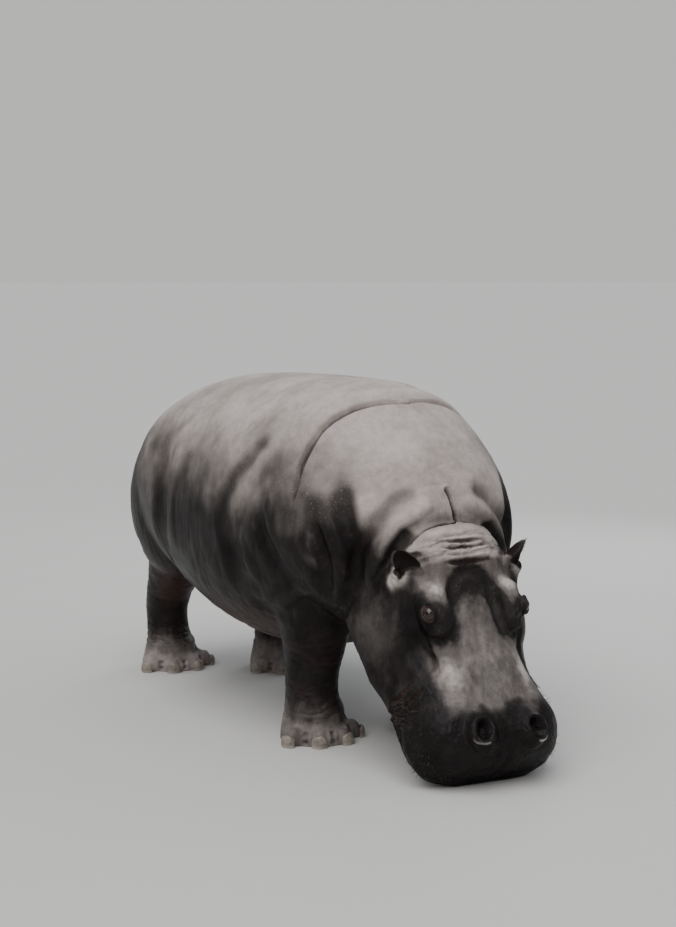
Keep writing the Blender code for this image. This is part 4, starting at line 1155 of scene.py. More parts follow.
    def relieve(self) -> None:
        """Softens the divided faces, and most where ears and tail grow from the body."""
        mesh = self.obj.data
        points = read_points(mesh)
        kind = read(mesh.polygons, "material_index")
        each = np.repeat(kind, read(mesh.polygons, "loop_total"))
        corners = read(mesh.loops, "vertex_index")
        flesh, graft = np.zeros((2, len(points)), bool)
        flesh[corners[each == 0]] = True
        graft[corners[each == 1]] = True
        seam = KDTree(int((graft & flesh).sum()))
        for i in np.nonzero(graft & flesh)[0]:
            seam.insert(points[i], int(i))
        seam.balance()
        edges = edges_of(mesh)
        ground = points[:, 2] < GROUND
        soft = np.where(graft | ground, 0.0, 0.35)
        points = relax(points, edges, soft, 3)
        ear_zone = np.abs(self.in_head(points)[:, 1] - 0.08) < 0.16
        rump = points[:, 1] > 1.2
        near = np.nonzero((ear_zone | rump) & ~ground)[0]
        far = np.array([seam.find(points[i])[2] for i in near])
        fillet = np.zeros(len(points))
        fillet[near] = 1 - smoothstep(0.004, 0.016, far)
        points = relax(points, edges, fillet * 0.6, 22)
        points[ground, 2] = 0.0
        write_points(mesh, points)
        self.obj.data.materials.clear()
        mesh.polygons.foreach_set("material_index", np.zeros(len(kind), np.int32))

    def wrinkle(self) -> None:
        """Covers the skin with lumps and with lines that run as they do on the animal."""
        mesh = self.obj.data
        points, normals = read_points(mesh), read_normals(mesh)
        q = points - np.array(self.shift)
        head = self.in_head(points)
        side, ahead, rise = head.T
        on_head = smoothstep(-0.12, 0.0, ahead) * smoothstep(-0.62, -0.5, rise)
        x, y, z = q.T
        lift = 0.0018 * cloud(q, 0.075, 3) + 0.0008 * cloud(q, 0.035, 4)
        # Neck and chest: lines round the neck, closer together below
        along = y * -0.8 + z * -0.6
        ring = np.column_stack([along, x * 0.22, (z - y) * 0.22])
        neck = smoothstep(-0.62, -0.95, y) * (1 - on_head) * (1 - smoothstep(1.18, 1.32, z))
        line = cracks(ring, 0.026, 0.16, 5)
        lift -= 0.0013 * neck * line
        # Barrel: long faint lines down the flanks
        flank = np.column_stack([y, x * 0.2, z * 0.16])
        low = (1 - smoothstep(0.75, 1.1, z)) * (1 - on_head) * smoothstep(-0.95, -0.7, y)
        lift -= 0.0015 * low * cracks(flank, 0.034, 0.14, 6) * smoothstep(0.25, 0.4, z)
        # Legs: level wrinkles, strongest at the ankle
        level = np.column_stack([x * 0.3, y * 0.3, z])
        ankle = np.exp(-((z - 0.165) / 0.085) ** 2) * (1 - on_head)
        ankle *= smoothstep(0.05, 0.09, z)
        hoop = cracks(level, 0.021, 0.2, 7)
        lift += ankle * (0.0015 - 0.0052 * hoop)
        knee = np.exp(-((z - 0.4) / 0.13) ** 2) * (1 - on_head) * (1 - neck)
        lift -= 0.0036 * knee * cracks(level, 0.034, 0.2, 8)
        # Crown: lines across, between the ears
        crown = np.exp(-((ahead - 0.025) / 0.075) ** 2) * smoothstep(-0.08, 0.0, rise)
        crown *= smoothstep(0.22, 0.12, np.abs(side))
        across = head * np.array([0.14, 1.0, 0.3])
        rough = cracks(across, 0.013, 0.24, 10)
        lift -= crown * (0.0028 * rough + 0.0022 * cloud(head, 0.013, 11)
                         + 0.0012 * cloud(head, 0.006, 15))
        # Cheeks, jowls and rostrum: fine lines along the face
        cheek = on_head * (1 - crown)
        drawn = head * np.array([1.0, 0.35, 1.0])
        lift -= 0.0011 * cheek * cracks(drawn, 0.017, 0.18, 12)
        throat = on_head * (1 - smoothstep(-0.4, -0.26, rise))
        lift -= 0.0022 * throat * cracks(head * np.array([0.25, 1, 0.4]), 0.024, 0.18, 13)
        # Muzzle: a pebbled surface
        muzzle = smoothstep(0.56, 0.72, ahead) * on_head
        lift += 0.0013 * muzzle * cloud(head, 0.0095, 14)
        still = (points[:, 2] < GROUND) | (eye_distance(points, self.eyes) < 0.04)
        lift[still] = 0
        lift *= smoothstep(0.0, 0.02, points[:, 2])
        points += normals * lift[:, None]
        points[:, 2] = np.maximum(points[:, 2], 0)
        write_points(mesh, points)
        lines = neck * line * 0.35 + ankle * hoop * 0.8 + crown * rough * 0.7
        self.crease = np.maximum(self.crease, np.clip(lines, 0, 1))

    def close_lids(self) -> None:
        """Wraps the lids round both eyes."""
        mesh = self.obj.data
        points = read_points(mesh)
        self.rim, self.roll = np.zeros(len(points)), np.zeros(len(points))
        edges = edges_of(mesh)
        for eye in self.eyes:
            points, rim, roll = Lids().wrap(points, eye)
            far = np.linalg.norm(points - np.array(eye.centre), axis=1)
            points = relax(points, edges, np.where(far < 0.075, 0.25, 0.0), 1)
            self.rim = np.maximum(self.rim, rim)
            self.roll = np.maximum(self.roll, roll)
        write_points(mesh, points)

    def mark(self) -> None:
        """Writes the masks that the hide's finish reads: wet, fold, rosy, and tone with painted
        light and shade.
        """
        points = read_points(self.obj.data)
        normals = read_normals(self.obj.data)
        q = points - np.array(self.shift)
        w, u, v = self.in_head(points).T
        side = np.abs(w)
        x, y, z = q.T
        on_head = smoothstep(-0.1, 0.0, u) * smoothstep(-0.62, -0.5, v)
        wander = 0.07 * cloud(q, 0.3, 20) + 0.03 * cloud(q, 0.08, 21)
        streaks = 0.06 * cloud(q, (0.09, 0.09, 0.55), 24)
        neck = smoothstep(-1.0, -1.12, y) * smoothstep(0.37, 0.3, np.abs(x))
        body_wet = 1 - smoothstep(0.8, 1.22, z + wander + streaks + 0.1 * neck)
        foot = (1 - smoothstep(0.02, 0.27, z + 0.5 * wander)) * (1 - on_head)
        body_wet *= 1 - (0.4 + 0.2 * (y > 0)) * foot
        patchy = 0.022 * cloud(q, 0.035, 25) + 0.022 * cloud(q, 0.09, 27)
        muzzle = smoothstep(0.55, 0.73, u + patchy + 0.25 * np.maximum(side - 0.12, 0))
        cheek = smoothstep(0.15, 0.23, side + 0.2 * wander) * 0.92
        crown = smoothstep(0.1, 0.06, u) * smoothstep(-0.1, -0.03, v)
        face_wet = np.maximum(muzzle, np.maximum(cheek, 0.62) * (1 - crown))
        wet = body_wet * (1 - on_head) + face_wet * on_head
        rosy = 0.7 * self.crease * (0.4 + 0.6 * on_head) * (1 - smoothstep(0.66, 0.72, u))
        rosy = np.maximum(rosy, 0.55 * self.rim)
        ear = self.ear_mask(points)
        # The ears are as dark as wet skin all over, as painted shade in their cups
        wet = np.maximum(wet, ear)
        belly = (1 - smoothstep(0.4, 0.62, z)) * smoothstep(-0.2, -0.7, normals[:, 2])
        rosy = np.maximum(rosy, 0.5 * belly * (1 - on_head))
        rosy = np.maximum(rosy, 0.08 * ear)
        tone = np.full(len(points), 0.5)
        flecked = 1 + 0.35 * cloud(q, 0.013, 28) + 0.25 * cloud(q, 0.03, 29)

        def spot(cu: float, cw: float, lu: float, lw: float, by: float,
                 top: float = -0.12) -> None:
            """Lightens or darkens a patch of the face on both sides."""
            inside = np.exp(-((u - cu) / lu) ** 2 - ((side - cw) / lw) ** 2) * flecked
            tone[:] += by * inside * on_head * smoothstep(top, top + 0.05, v)

        spot(0.2, 0.15, 0.042, 0.06, 0.4)      # brow
        spot(0.108, 0.272, 0.034, 0.038, 0.56)      # pad below the ear: painted highlight on the cheekbone
        spot(0.06, 0.185, 0.03, 0.03, -0.4)     # in front of the ear: painted shadow of the ear
        spot(0.15, 0.0, 0.048, 0.07, -0.62)       # middle of the forehead: painted shade in its hollow
        spot(0.25, 0.0, 0.085, 0.06, -0.3)        # top of the rostrum
        # A dark V on the forehead: painted shade in its hollow
        chevron = np.exp(-((u - 0.138 - 0.75 * side) / 0.038) ** 2)
        tone -= 1.0 * chevron * smoothstep(0.15, 0.07, side) * on_head * smoothstep(-0.12,
                                                                                     -0.07, v)
        # The two arms of the forehead's V: painted shade in their hollows
        spot(0.225, 0.095, 0.05, 0.03, -0.6)
        spot(0.3, 0.106, 0.08, 0.026, -0.6)
        spot(0.35, 0.165, 0.065, 0.06, -0.95)     # before the eye: painted shade in the hollow there
        spot(0.29, 0.225, 0.06, 0.055, -0.8)     # round the eye: painted shade in its socket
        spot(0.52, 0.16, 0.14, 0.038, 0.25)        # edge of the rostrum: painted highlight along it
        spot(0.44, 0.0, 0.16, 0.06, 0.07)           # middle of the rostrum
        # A darker band across the crown, with darker lines in it: painted shade in its wrinkles
        grain = cloud(np.column_stack([w * 0.1, u, v * 0.3]), 0.01, 30)
        tone -= (0.1 + 0.28 * grain) * on_head * np.exp(-((u - 0.03) / 0.07) ** 2) * smoothstep(
            0.22, 0.14, side) * smoothstep(-0.08, 0.0, v)
        tone -= 0.22 * smoothstep(0.54, 0.7, u + patchy) * on_head
        # The strokes' painted highlights and painted shade, and a painted highlight on the lids'
        # rolls
        tone += self.shade + 0.2 * self.roll
        # Feet a little lighter, where they are dry; the ears much darker, as painted shade in
        # their cups
        tone += 0.05 * foot - 0.7 * ear
        # Painted shade: the flanks darker from the top of the back down
        shade = smoothstep(1.42, 1.04, z + streaks) * (1 - neck) * (1 - on_head)
        tone -= 0.3 * shade * smoothstep(-1.16, -1.0, y) * smoothstep(0.8, 0.95, z)
        spread = 0.1 * cloud(q, 0.16, 22) + 0.05 * cloud(q, 0.05, 23)
        spread += 0.07 * cloud(q, 0.018, 26) * on_head
        tone += spread * (1 - 0.85 * smoothstep(0.4, 0.9, wet))
        for name, values in (("wet", wet), ("fold", self.crease), ("rosy", rosy),
                             ("tone", tone), ("muzzle", muzzle * on_head)):
            layer = self.obj.data.attributes.new(name, "FLOAT", "POINT")
            layer.data.foreach_set("value", np.clip(values, 0, 1).astype(np.float32))

    def ear_mask(self, points: np.ndarray) -> np.ndarray:
        """Finds the ears.

        Args:
            points: The skin's vertices.

        Returns:
            1 on the ears, and 0 elsewhere.
        """
        mask = np.zeros(len(points))
        for side in Side:
            base, axis, _, _ = Ear(side, self.axes).frame()
            offset = points - np.array(base + self.shift)
            along = offset @ np.array(axis)
            across = np.linalg.norm(offset - along[:, None] * np.array(axis), axis=1)
            mask = np.maximum(mask, smoothstep(0.015, 0.035, along)
                              * (1 - smoothstep(0.06, 0.08, across)))
        return mask


def eye_distance(points: np.ndarray, eyes: tuple[EyeFrame, ...]) -> np.ndarray:
    """How far each point lies from the nearer eye's middle."""
    return np.min([np.linalg.norm(points - np.array(eye.centre), axis=1) for eye in eyes], 0)


# -------- finishes

class Graph:
    """A node tree that is filled a node at a time."""

    def __init__(self, tree: NodeTree) -> None:
        """Takes the tree to fill."""
        self.tree = tree

    def add(self, kind: str, settings: dict | None = None, **inputs: object) -> Node:
        """Adds a node.

        Args:
            kind: The node's type.
            settings: The node's own properties.
            inputs: Values or sockets for its inputs, with _ for a space, or _0, _1 by number.

        Returns:
            The node.
        """
        node = self.tree.nodes.new(kind)
        for name, value in (settings or {}).items():
            setattr(node, name, value)
        for name, value in inputs.items():
            number = name[1:].isdigit() and name[0] == "_"
            socket = node.inputs[int(name[1:]) if number else name.replace("_", " ")]
            if isinstance(value, NodeSocket):
                self.tree.links.new(value, socket)
            else:
                socket.default_value = value
        return node

    def math(self, operation: str, a: object, b: object = 0.0, clamp: bool = False) -> object:
        """One operation on two numbers."""
        settings = {"operation": operation, "use_clamp": clamp}
        return self.add("ShaderNodeMath", settings, _0=a, _1=b).outputs[0]

    def times(self, a: object, b: object) -> object:
        """The product of two numbers."""
        return self.math("MULTIPLY", a, b)

    def plus(self, a: object, b: object) -> object:
        """The sum of two numbers."""
        return self.math("ADD", a, b)

    def sway(self, value: object, width: float) -> object:
        """Turns a number from 0 to 1 into one as far below 0 as above it."""
        return self.times(self.math("SUBTRACT", value, 0.5), width)

    def mix(self, factor: object, a: object, b: object) -> object:
        """A blend of two colours."""
        settings = {"data_type": "RGBA", "clamp_factor": True}
        return self.add("ShaderNodeMix", settings, _0=factor, _6=a, _7=b).outputs[2]

    def blend(self, factor: object, a: object, b: object) -> object:
        """A blend of two numbers."""
        return self.add("ShaderNodeMix", {"data_type": "FLOAT", "clamp_factor": True},
                        _0=factor, _2=a, _3=b).outputs[0]

    def ramp(self, value: object, low: float, high: float, start: float = 0.0,
             end: float = 1.0) -> object:
        """A smooth step between two values of a number."""
        return self.add("ShaderNodeMapRange", {"interpolation_type": "SMOOTHSTEP"}, _0=value,
                        _1=low, _2=high, _3=start, _4=end).outputs[0]

    def noise(self, vector: object, scale: float, detail: float = 4.0,
              roughness: float = 0.55) -> object:
        """Cloudy noise from 0 to 1."""
        return self.add("ShaderNodeTexNoise", None, Vector=vector, Scale=scale, Detail=detail,
                        Roughness=roughness).outputs[0]

    def stretch(self, vector: object, scale: Point) -> object:
        """A vector scaled along its axes."""
        return self.add("ShaderNodeVectorMath", {"operation": "MULTIPLY"}, _0=vector,
                        _1=scale).outputs[0]

    def attribute(self, name: str) -> object:
        """A number that each vertex holds."""
        return self.add("ShaderNodeAttribute", {"attribute_name": name}).outputs["Fac"]

    def place(self) -> object:
        """The surface's place in its object."""
        return self.add("ShaderNodeTexCoord").outputs["Object"]


def new_group(name: str, inputs: dict[str, tuple[str, object]],
              outputs: dict[str, str]) -> tuple[NodeTree, Graph, object, object]:
    """Starts a shader node group.

    Args:
        name: Its name.
        inputs: The type and default of each input.
        outputs: The type of each output.

    Returns:
        The group, its graph, its input node and its output node.
    """
    tree = bpy.data.node_groups.new(name, "ShaderNodeTree")
    for label, (kind, value) in inputs.items():
        socket = tree.interface.new_socket(name=label, in_out="INPUT", socket_type=kind)
        if value is not None:
            socket.default_value = value
    for label, kind in outputs.items():
        tree.interface.new_socket(name=label, in_out="OUTPUT", socket_type=kind)
    graph = Graph(tree)
    return tree, graph, graph.add("NodeGroupInput"), graph.add("NodeGroupOutput")


FLOAT, COLOUR, VECTOR = "NodeSocketFloat", "NodeSocketColor", "NodeSocketVector"


def hide_grain() -> NodeTree:
    """Cracks, pebbles and pores of thick bare skin.

    Returns:
        The group, which gives their height, a mask of the cracks and one of pale specks.
    """
    tree, graph, ask, give = new_group(
        "hide_grain", {"Place": (VECTOR, None), "Coarse": (FLOAT, 1.0), "Pebble": (FLOAT, 0.0)},
        {"Height": FLOAT, "Cracks": FLOAT, "Specks": FLOAT})
    place = ask.outputs["Place"]
    bend = graph.add("ShaderNodeTexNoise", None, Vector=place, Scale=22.0, Detail=3.0)
    bent = graph.add("ShaderNodeVectorMath", {"operation": "MULTIPLY_ADD"},
                     _0=bend.outputs["Color"], _1=(0.022, 0.022, 0.022), _2=place).outputs[0]
    cells = []
    for scale, width in ((88.0, 0.12), (210.0, 0.16)):
        cell = graph.add("ShaderNodeTexVoronoi", {"feature": "DISTANCE_TO_EDGE"},
                         Vector=bent, Scale=scale, Randomness=1.0).outputs["Distance"]
        cells.append(graph.ramp(cell, 0.0, width))
    patch = graph.ramp(graph.noise(place, 7.0, 3.0, 0.6), 0.38, 0.62)
    wide, fine = graph.blend(patch, 0.8, cells[0]), cells[1]
    pores = graph.add("ShaderNodeTexVoronoi", {"feature": "SMOOTH_F1"}, Vector=place,
                      Scale=330.0, Smoothness=0.6).outputs["Distance"]
    lumps = graph.noise(place, 45.0, 5.0, 0.6)
    pebble = graph.add("ShaderNodeTexVoronoi", {"feature": "F1"}, Vector=bent,
                       Scale=125.0).outputs["Distance"]
    height = graph.times(wide, graph.times(ask.outputs["Coarse"], 0.55))
    for layer, share in ((fine, 0.3), (pores, -0.16), (lumps, 0.9),
                         (graph.math("SUBTRACT", 0.55, pebble), ask.outputs["Pebble"])):
        height = graph.plus(height, graph.times(layer, share))
    dark = graph.math("SUBTRACT", 1.0, graph.times(wide, fine))
    specks = graph.ramp(graph.noise(place, 150.0, 3.0, 0.7), 0.6, 0.74)
    for label, value in (("Height", height), ("Cracks", dark), ("Specks", specks)):
        tree.links.new(value, give.inputs[label])
    return tree


def mottle() -> NodeTree:
    """Uneven pigment: a colour that wanders between two others.

    Returns:
        The group, which gives the colour and its mask.
    """
    tree, graph, ask, give = new_group(
        "mottle", {"Place": (VECTOR, None), "Light": (COLOUR, (0.3, 0.26, 0.24, 1)),
                   "Dark": (COLOUR, (0.15, 0.13, 0.12, 1)), "Scale": (FLOAT, 6.0)},
        {"Colour": COLOUR, "Mask": FLOAT})
    place = ask.outputs["Place"]
    scaled = graph.add("ShaderNodeVectorMath", {"operation": "SCALE"}, _0=place,
                       Scale=ask.outputs["Scale"]).outputs[0]
    mask = graph.plus(graph.times(graph.noise(scaled, 1.0, 5.0, 0.62), 0.7),
                      graph.times(graph.noise(scaled, 7.0, 3.0, 0.6), 0.3))
    mask = graph.ramp(mask, 0.34, 0.66)
    tree.links.new(mask, give.inputs["Mask"])
    tree.links.new(graph.mix(mask, ask.outputs["Dark"], ask.outputs["Light"]),
                   give.inputs["Colour"])
    return tree


def start_material(name: str) -> tuple[Material, Graph, Node]:
    """Starts a material.

    Args:
        name: Its name.

    Returns:
        The material, its graph and its shader.
    """
    material = bpy.data.materials.new(name)
    material.use_nodes = True
    return material, Graph(material.node_tree), material.node_tree.nodes["Principled BSDF"]


@dataclass(frozen=True)
class HideFinish:
    """Bare hide: pale and dusty where dry, dark and shining where wet, rosy in the folds."""

    dry_light: Point = (0.5, 0.44, 0.41)
    dry_dark: Point = (0.34, 0.293, 0.27)
    wet_light: Point = (0.014, 0.011, 0.0105)
    # the darker wet colour, also the colour that painted shade darkens towards
    wet_dark_and_shade: Point = (0.0045, 0.0035, 0.0034)
    rosy: Point = (0.15, 0.078, 0.066)
    groove: Point = (0.01, 0.0075, 0.0068)
    # pale dust, also the colour that painted highlights lighten towards
    dust_and_highlight: Point = (0.58, 0.515, 0.475)
    dry_roughness: float = 0.66
    wet_roughness: float = 0.38
    film_roughness: float = 0.24
    film_weight: float = 0.17
    water_ior: float = 1.33
    gloss: float = 0.18

    def build(self, grain: NodeTree, pigment: NodeTree) -> Material:
        """Makes the material.

        Args:
            grain: The group of cracks and pores.
            pigment: The group of uneven pigment.

        Returns:
            The material, which reads the skin's masks.
        """
        material, graph, shader = start_material("hide")
        place = graph.place()
        surface = graph.add("ShaderNodeGroup", {"node_tree": grain}, Place=place, Coarse=1.0,
                            Pebble=graph.times(graph.attribute("muzzle"), 0.9))
        dry = graph.add("ShaderNodeGroup", {"node_tree": pigment}, Place=place, Scale=5.0,
                        Light=(*self.dry_light, 1), Dark=(*self.dry_dark, 1)).outputs[0]
        wet = graph.add("ShaderNodeGroup", {"node_tree": pigment}, Place=place, Scale=7.0,
                        Light=(*self.wet_light, 1), Dark=(*self.wet_dark_and_shade, 1)).outputs[0]
        runs = graph.noise(graph.stretch(place, (1.0, 1.0, 0.16)), 26.0, 4.0, 0.6)
        spread = graph.noise(place, 9.0, 5.0, 0.65)
        wander = graph.plus(graph.sway(runs, 0.42), graph.sway(spread, 0.36))
        wetness = graph.ramp(graph.plus(graph.attribute("wet"), wander), 0.05, 0.95)
        colour = graph.mix(wetness, dry, wet)
        tone = graph.attribute("tone")
        fold = graph.ramp(graph.attribute("fold"), 0.25, 1.0)
        dusty = graph.math("SUBTRACT", 0.45, graph.times(wetness, 0.42))
        # Tone above a half lightens towards the dust colour and below a half darkens towards the
        # wet dark; much of both is painted highlight and painted shade
        for mask, share, over in ((graph.ramp(tone, 0.5, 1.0), 0.95, self.dust_and_highlight),
                                  (graph.ramp(tone, 0.5, 0.0), 0.9, self.wet_dark_and_shade),
                                  (graph.attribute("rosy"), 0.55, self.rosy),
                                  (fold, 0.75, self.groove),
                                  (surface.outputs["Cracks"], 0.2, self.groove),
                                  (surface.outputs["Specks"], dusty, self.dust_and_highlight)):
            colour = graph.mix(graph.times(mask, share), colour, (*over, 1))
        links = graph.tree.links
        links.new(colour, shader.inputs["Base Color"])
        rough = graph.blend(wetness, self.dry_roughness, self.wet_roughness)
        links.new(graph.math("ADD", rough, graph.sway(spread, 0.25), True),
                  shader.inputs["Roughness"])
        film = graph.times(wetness, graph.ramp(spread, 0.36, 0.7, 0.0, self.film_weight))
        links.new(film, shader.inputs["Coat Weight"])
        shader.inputs["Coat Roughness"].default_value = self.film_roughness
        shader.inputs["IOR"].default_value = self.water_ior
        shader.inputs["Specular IOR Level"].default_value = self.gloss
        bump = graph.add("ShaderNodeBump", None, Strength=0.7, Distance=0.0015,
                         Height=surface.outputs["Height"])
        links.new(bump.outputs[0], shader.inputs["Normal"])
        return material


@dataclass(frozen=True)
class EyeFinish:
    """A wet dark brown eye with a broad pupil."""

    iris_inner: Point = (0.016, 0.008, 0.005)
    iris_outer: Point = (0.028, 0.015, 0.008)
    white: Point = (0.036, 0.021, 0.018)
    vein: Point = (0.06, 0.016, 0.012)
    ring: Point = (0.012, 0.008, 0.007)     # round the iris
    pupil: Point = (0.003, 0.003, 0.004)
    roughness: float = 0.05

    def build(self) -> Material:
        """Makes the material, drawn round the eye's own third axis.

        Returns:
            The material.
        """
        material, graph, shader = start_material("eye")
        place = graph.place()
        parts = graph.add("ShaderNodeSeparateXYZ", None, _0=place).outputs
        across = graph.math("POWER", parts[0], 2.0)
        tall = graph.math("POWER", parts[1], 2.0)
        out = graph.math("SQRT", graph.plus(across, tall))
        slot = graph.math("SQRT", graph.plus(graph.times(across, 0.55), graph.times(tall, 1.5)))
        turn = graph.math("ARCTAN2", parts[1], parts[0])
        rays = graph.add("ShaderNodeCombineXYZ", None, _0=graph.times(turn, 9.0),
                         _1=graph.times(out, 120.0)).outputs[0]
        streak = graph.noise(rays, 2.2, 4.0, 0.7)
        iris = graph.mix(graph.ramp(out, 0.006, 0.017), (*self.iris_inner, 1),
                         (*self.iris_outer, 1))
        iris = graph.mix(graph.times(streak, 0.7), iris, (*self.iris_inner, 1))
        veins = graph.ramp(graph.noise(place, 420.0, 5.0, 0.7), 0.52, 0.66)
        white = graph.mix(graph.times(veins, 0.6), (*self.white, 1), (*self.vein, 1))
        colour = graph.mix(graph.ramp(out, 0.0172, 0.02), iris, white)
        ring = graph.times(graph.ramp(out, 0.015, 0.0178), graph.ramp(out, 0.0205, 0.018))
        colour = graph.mix(ring, colour, (*self.ring, 1))
        colour = graph.mix(graph.ramp(slot, 0.0078, 0.0066), colour, (*self.pupil, 1))
        links = graph.tree.links
        links.new(colour, shader.inputs["Base Color"])
        links.new(graph.ramp(out, 0.018, 0.03, self.roughness, 0.14), shader.inputs["Roughness"])
        shader.inputs["Coat Weight"].default_value = 0.55
        shader.inputs["Coat Roughness"].default_value = 0.02
        shader.inputs["IOR"].default_value = 1.3
        wet = graph.add("ShaderNodeBump", None, Strength=0.12, Distance=0.0004, Height=veins)
        links.new(wet.outputs[0], shader.inputs["Normal"])
        return material


@dataclass(frozen=True)
class HornFinish:
    """Worn horn of the nails, darker at the root and scuffed at the edge."""

    light: Point = (0.33, 0.285, 0.24)
    dark: Point = (0.12, 0.098, 0.082)
    worn: Point = (0.42, 0.375, 0.32)
    roughness: float = 0.42

    def build(self, pigment: NodeTree) -> Material:
        """Makes the material.

        Args:
            pigment: The group of uneven pigment.

        Returns:
            The material.
        """
        material, graph, shader = start_material("nail_horn")
        place = graph.place()
        base = graph.add("ShaderNodeGroup", {"node_tree": pigment}, Place=place, Scale=26.0,
                         Light=(*self.light, 1), Dark=(*self.dark, 1)).outputs[0]
        grain = graph.noise(graph.stretch(place, (1.0, 1.0, 0.12)), 520.0, 3.0, 0.6)
        base = graph.mix(graph.times(grain, 0.45), base, (*self.dark, 1))
        height = graph.add("ShaderNodeSeparateXYZ", None, _0=place).outputs[2]
        edge = graph.times(graph.ramp(height, 0.016, 0.004), graph.noise(place, 190.0, 4.0, 0.7))
        base = graph.mix(edge, base, (*self.worn, 1))
        links = graph.tree.links
        links.new(base, shader.inputs["Base Color"])
        links.new(graph.plus(graph.times(grain, 0.25), self.roughness - 0.1),
                  shader.inputs["Roughness"])
        bump = graph.add("ShaderNodeBump", None, Strength=0.6, Distance=0.0008, Height=grain)
        links.new(bump.outputs[0], shader.inputs["Normal"])
        return material


@dataclass(frozen=True)
class BristleFinish:
    """Stiff dark bristle, paler towards its tip."""

    root: Point = (0.03, 0.022, 0.018)
    tip: Point = (0.15, 0.115, 0.085)

    def build(self) -> Material:
        """Makes the material.

        Returns:
            The material, which reads how far along its hair a vertex is.
        """
        material, graph, shader = start_material("bristle")
        along = graph.attribute("along")
        tint = graph.noise(graph.place(), 60.0, 3.0, 0.6)
        colour = graph.mix(graph.times(along, tint), (*self.root, 1), (*self.tip, 1))
        links = graph.tree.links
        links.new(colour, shader.inputs["Base Color"])
        links.new(graph.blend(tint, 0.35, 0.6), shader.inputs["Roughness"])
        bump = graph.add("ShaderNodeBump", None, Strength=0.3, Distance=0.0002, Height=tint)
        links.new(bump.outputs[0], shader.inputs["Normal"])
        return material


# -------- pieces on the skin

@dataclass
class Eyeball:
    """A ball with a clear swelling over its iris."""

    eye: EyeFrame
    rings: int = 48
    segments: int = 64
    under: float = 0.0006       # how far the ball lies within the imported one
    swell: float = 0.0012
    iris: float = 0.0185

    def build(self) -> Object:
        """Makes the ball, its third axis along the eye's look.

        Returns:
            The ball.
        """
        bm = bmesh.new()
        bmesh.ops.create_uvsphere(bm, u_segments=self.segments, v_segments=self.rings,
                                  radius=self.eye.radius - self.under)
        for vert in bm.verts:
            out = math.hypot(vert.co.x, vert.co.y)
            if vert.co.z > 0 and out < self.iris:
                vert.co.z += self.swell * (1 - (out / self.iris) ** 2)
        obj = link(f"eyeball_{self.eye.side.name.lower()}", bm)
        obj.data.shade_smooth()
        turn = Matrix((self.eye.front, self.eye.axis.cross(self.eye.front), self.eye.axis))
        obj.matrix_world = Matrix.Translation(self.eye.centre) @ turn.transposed().to_4x4()
        return obj

    def dress(self, obj: Object, finish: Material) -> None:
        """Args:
            obj: The ball.
            finish: Its material.
        """
        obj.data.materials.append(finish)
        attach(obj, "root")
        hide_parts(f"eye_{self.eye.side.name.lower()}")


@dataclass
class Nails:
    """Sixteen blunt nails, one on each toe, as curved plates of horn."""

    shift: Vector
    reach: float = math.radians(68)     # half the turn that a nail goes round its toe
    top: float = 0.05       # height of the nail's root above the floor
    thick: float = 0.006
    stand: float = 0.0065   # how far the horn stands off the toe
    proud: float = 0.0022   # how much further at its middle
    flare: float = 0.002    # and at its worn edge
    gap: float = 0.0015     # between that edge and the floor
    arch: float = 0.42      # how much lower the root is at the sides
    columns: int = 18
    rows: int = 14

    def build(self) -> Object:
        """Makes all the nails as one mesh.

        Returns:
            The nails.
        """
        bm = bmesh.new()
        for leg in LEGS:
            for spot, out, _ in leg.toes():
                self.add(bm, leg, spot + self.shift, out)
        bmesh.ops.recalc_face_normals(bm, faces=bm.faces)
        obj = link("nails", bm)
        obj.data.shade_smooth()
        obj.data.set_sharp_from_angle(angle=math.radians(50))
        return obj

    def add(self, bm: BMesh, leg: Leg, spot: Vector, out: Vector) -> None:
        """Adds one nail to a mesh.

        Args:
            bm: The mesh that takes it.
            leg: The nail's leg.
            spot: The toe's spot on the floor.
            out: The way the toe points.
        """
        side = Vector((-out.y, out.x, 0))
        middle = spot + out * leg.nail_ahead + Vector((0, 0, leg.nail_height))
        half, deep, tall = leg.nail_radii
        sheets = []
        for layer in (0.0, -self.thick):
            sheet = []
            for i in range(self.rows + 1):
                row = []
                for j in range(self.columns + 1):
                    a = self.reach * (2 * j / self.columns - 1)
                    arch = 1 - self.arch * (a / self.reach) ** 2
                    low = -leg.nail_height + self.gap
                    high = (self.top - leg.nail_height) * arch
                    z = low + (high - low) * i / self.rows
                    edge = smoothstep(1.0, 0.86, i / self.rows)
                    flare = self.flare * (1 - i / self.rows) ** 2
                    puff = self.proud * float(edge) * (1 - 0.5 * (a / self.reach) ** 4)
                    width = math.sqrt(max(1 - (z / tall) ** 2 * 0.45, 0.2))
                    stand = self.stand + puff + flare + layer
                    p = (middle + side * (math.sin(a) * (half * width + stand))
                         + out * (math.cos(a) * (deep * width + stand)))
                    row.append(bm.verts.new((p.x, p.y, middle.z + z)))
                sheet.append(row)
            sheets.append(sheet)
        front, back = sheets
        for i in range(self.rows):
            for j in range(self.columns):
                for sheet, flip in ((front, False), (back, True)):
                    ring = [sheet[i][j], sheet[i][j + 1], sheet[i + 1][j + 1], sheet[i + 1][j]]
                    bm.faces.new(ring[::-1] if flip else ring)
        rim = [(0, j) for j in range(self.columns)] + [(i, self.columns) for i in range(self.rows)]
        rim += [(self.rows, j) for j in range(self.columns, 0, -1)]
        rim += [(i, 0) for i in range(self.rows, 0, -1)]
        for (i, j), (m, n) in zip(rim, rim[1:] + rim[:1]):
            bm.faces.new((front[i][j], back[i][j], back[m][n], front[m][n]))

    def dress(self, obj: Object, finish: Material) -> None:
        """Args:
            obj: The nails.
            finish: Their material.
        """
        obj.data.materials.append(finish)
        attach(obj, "root")


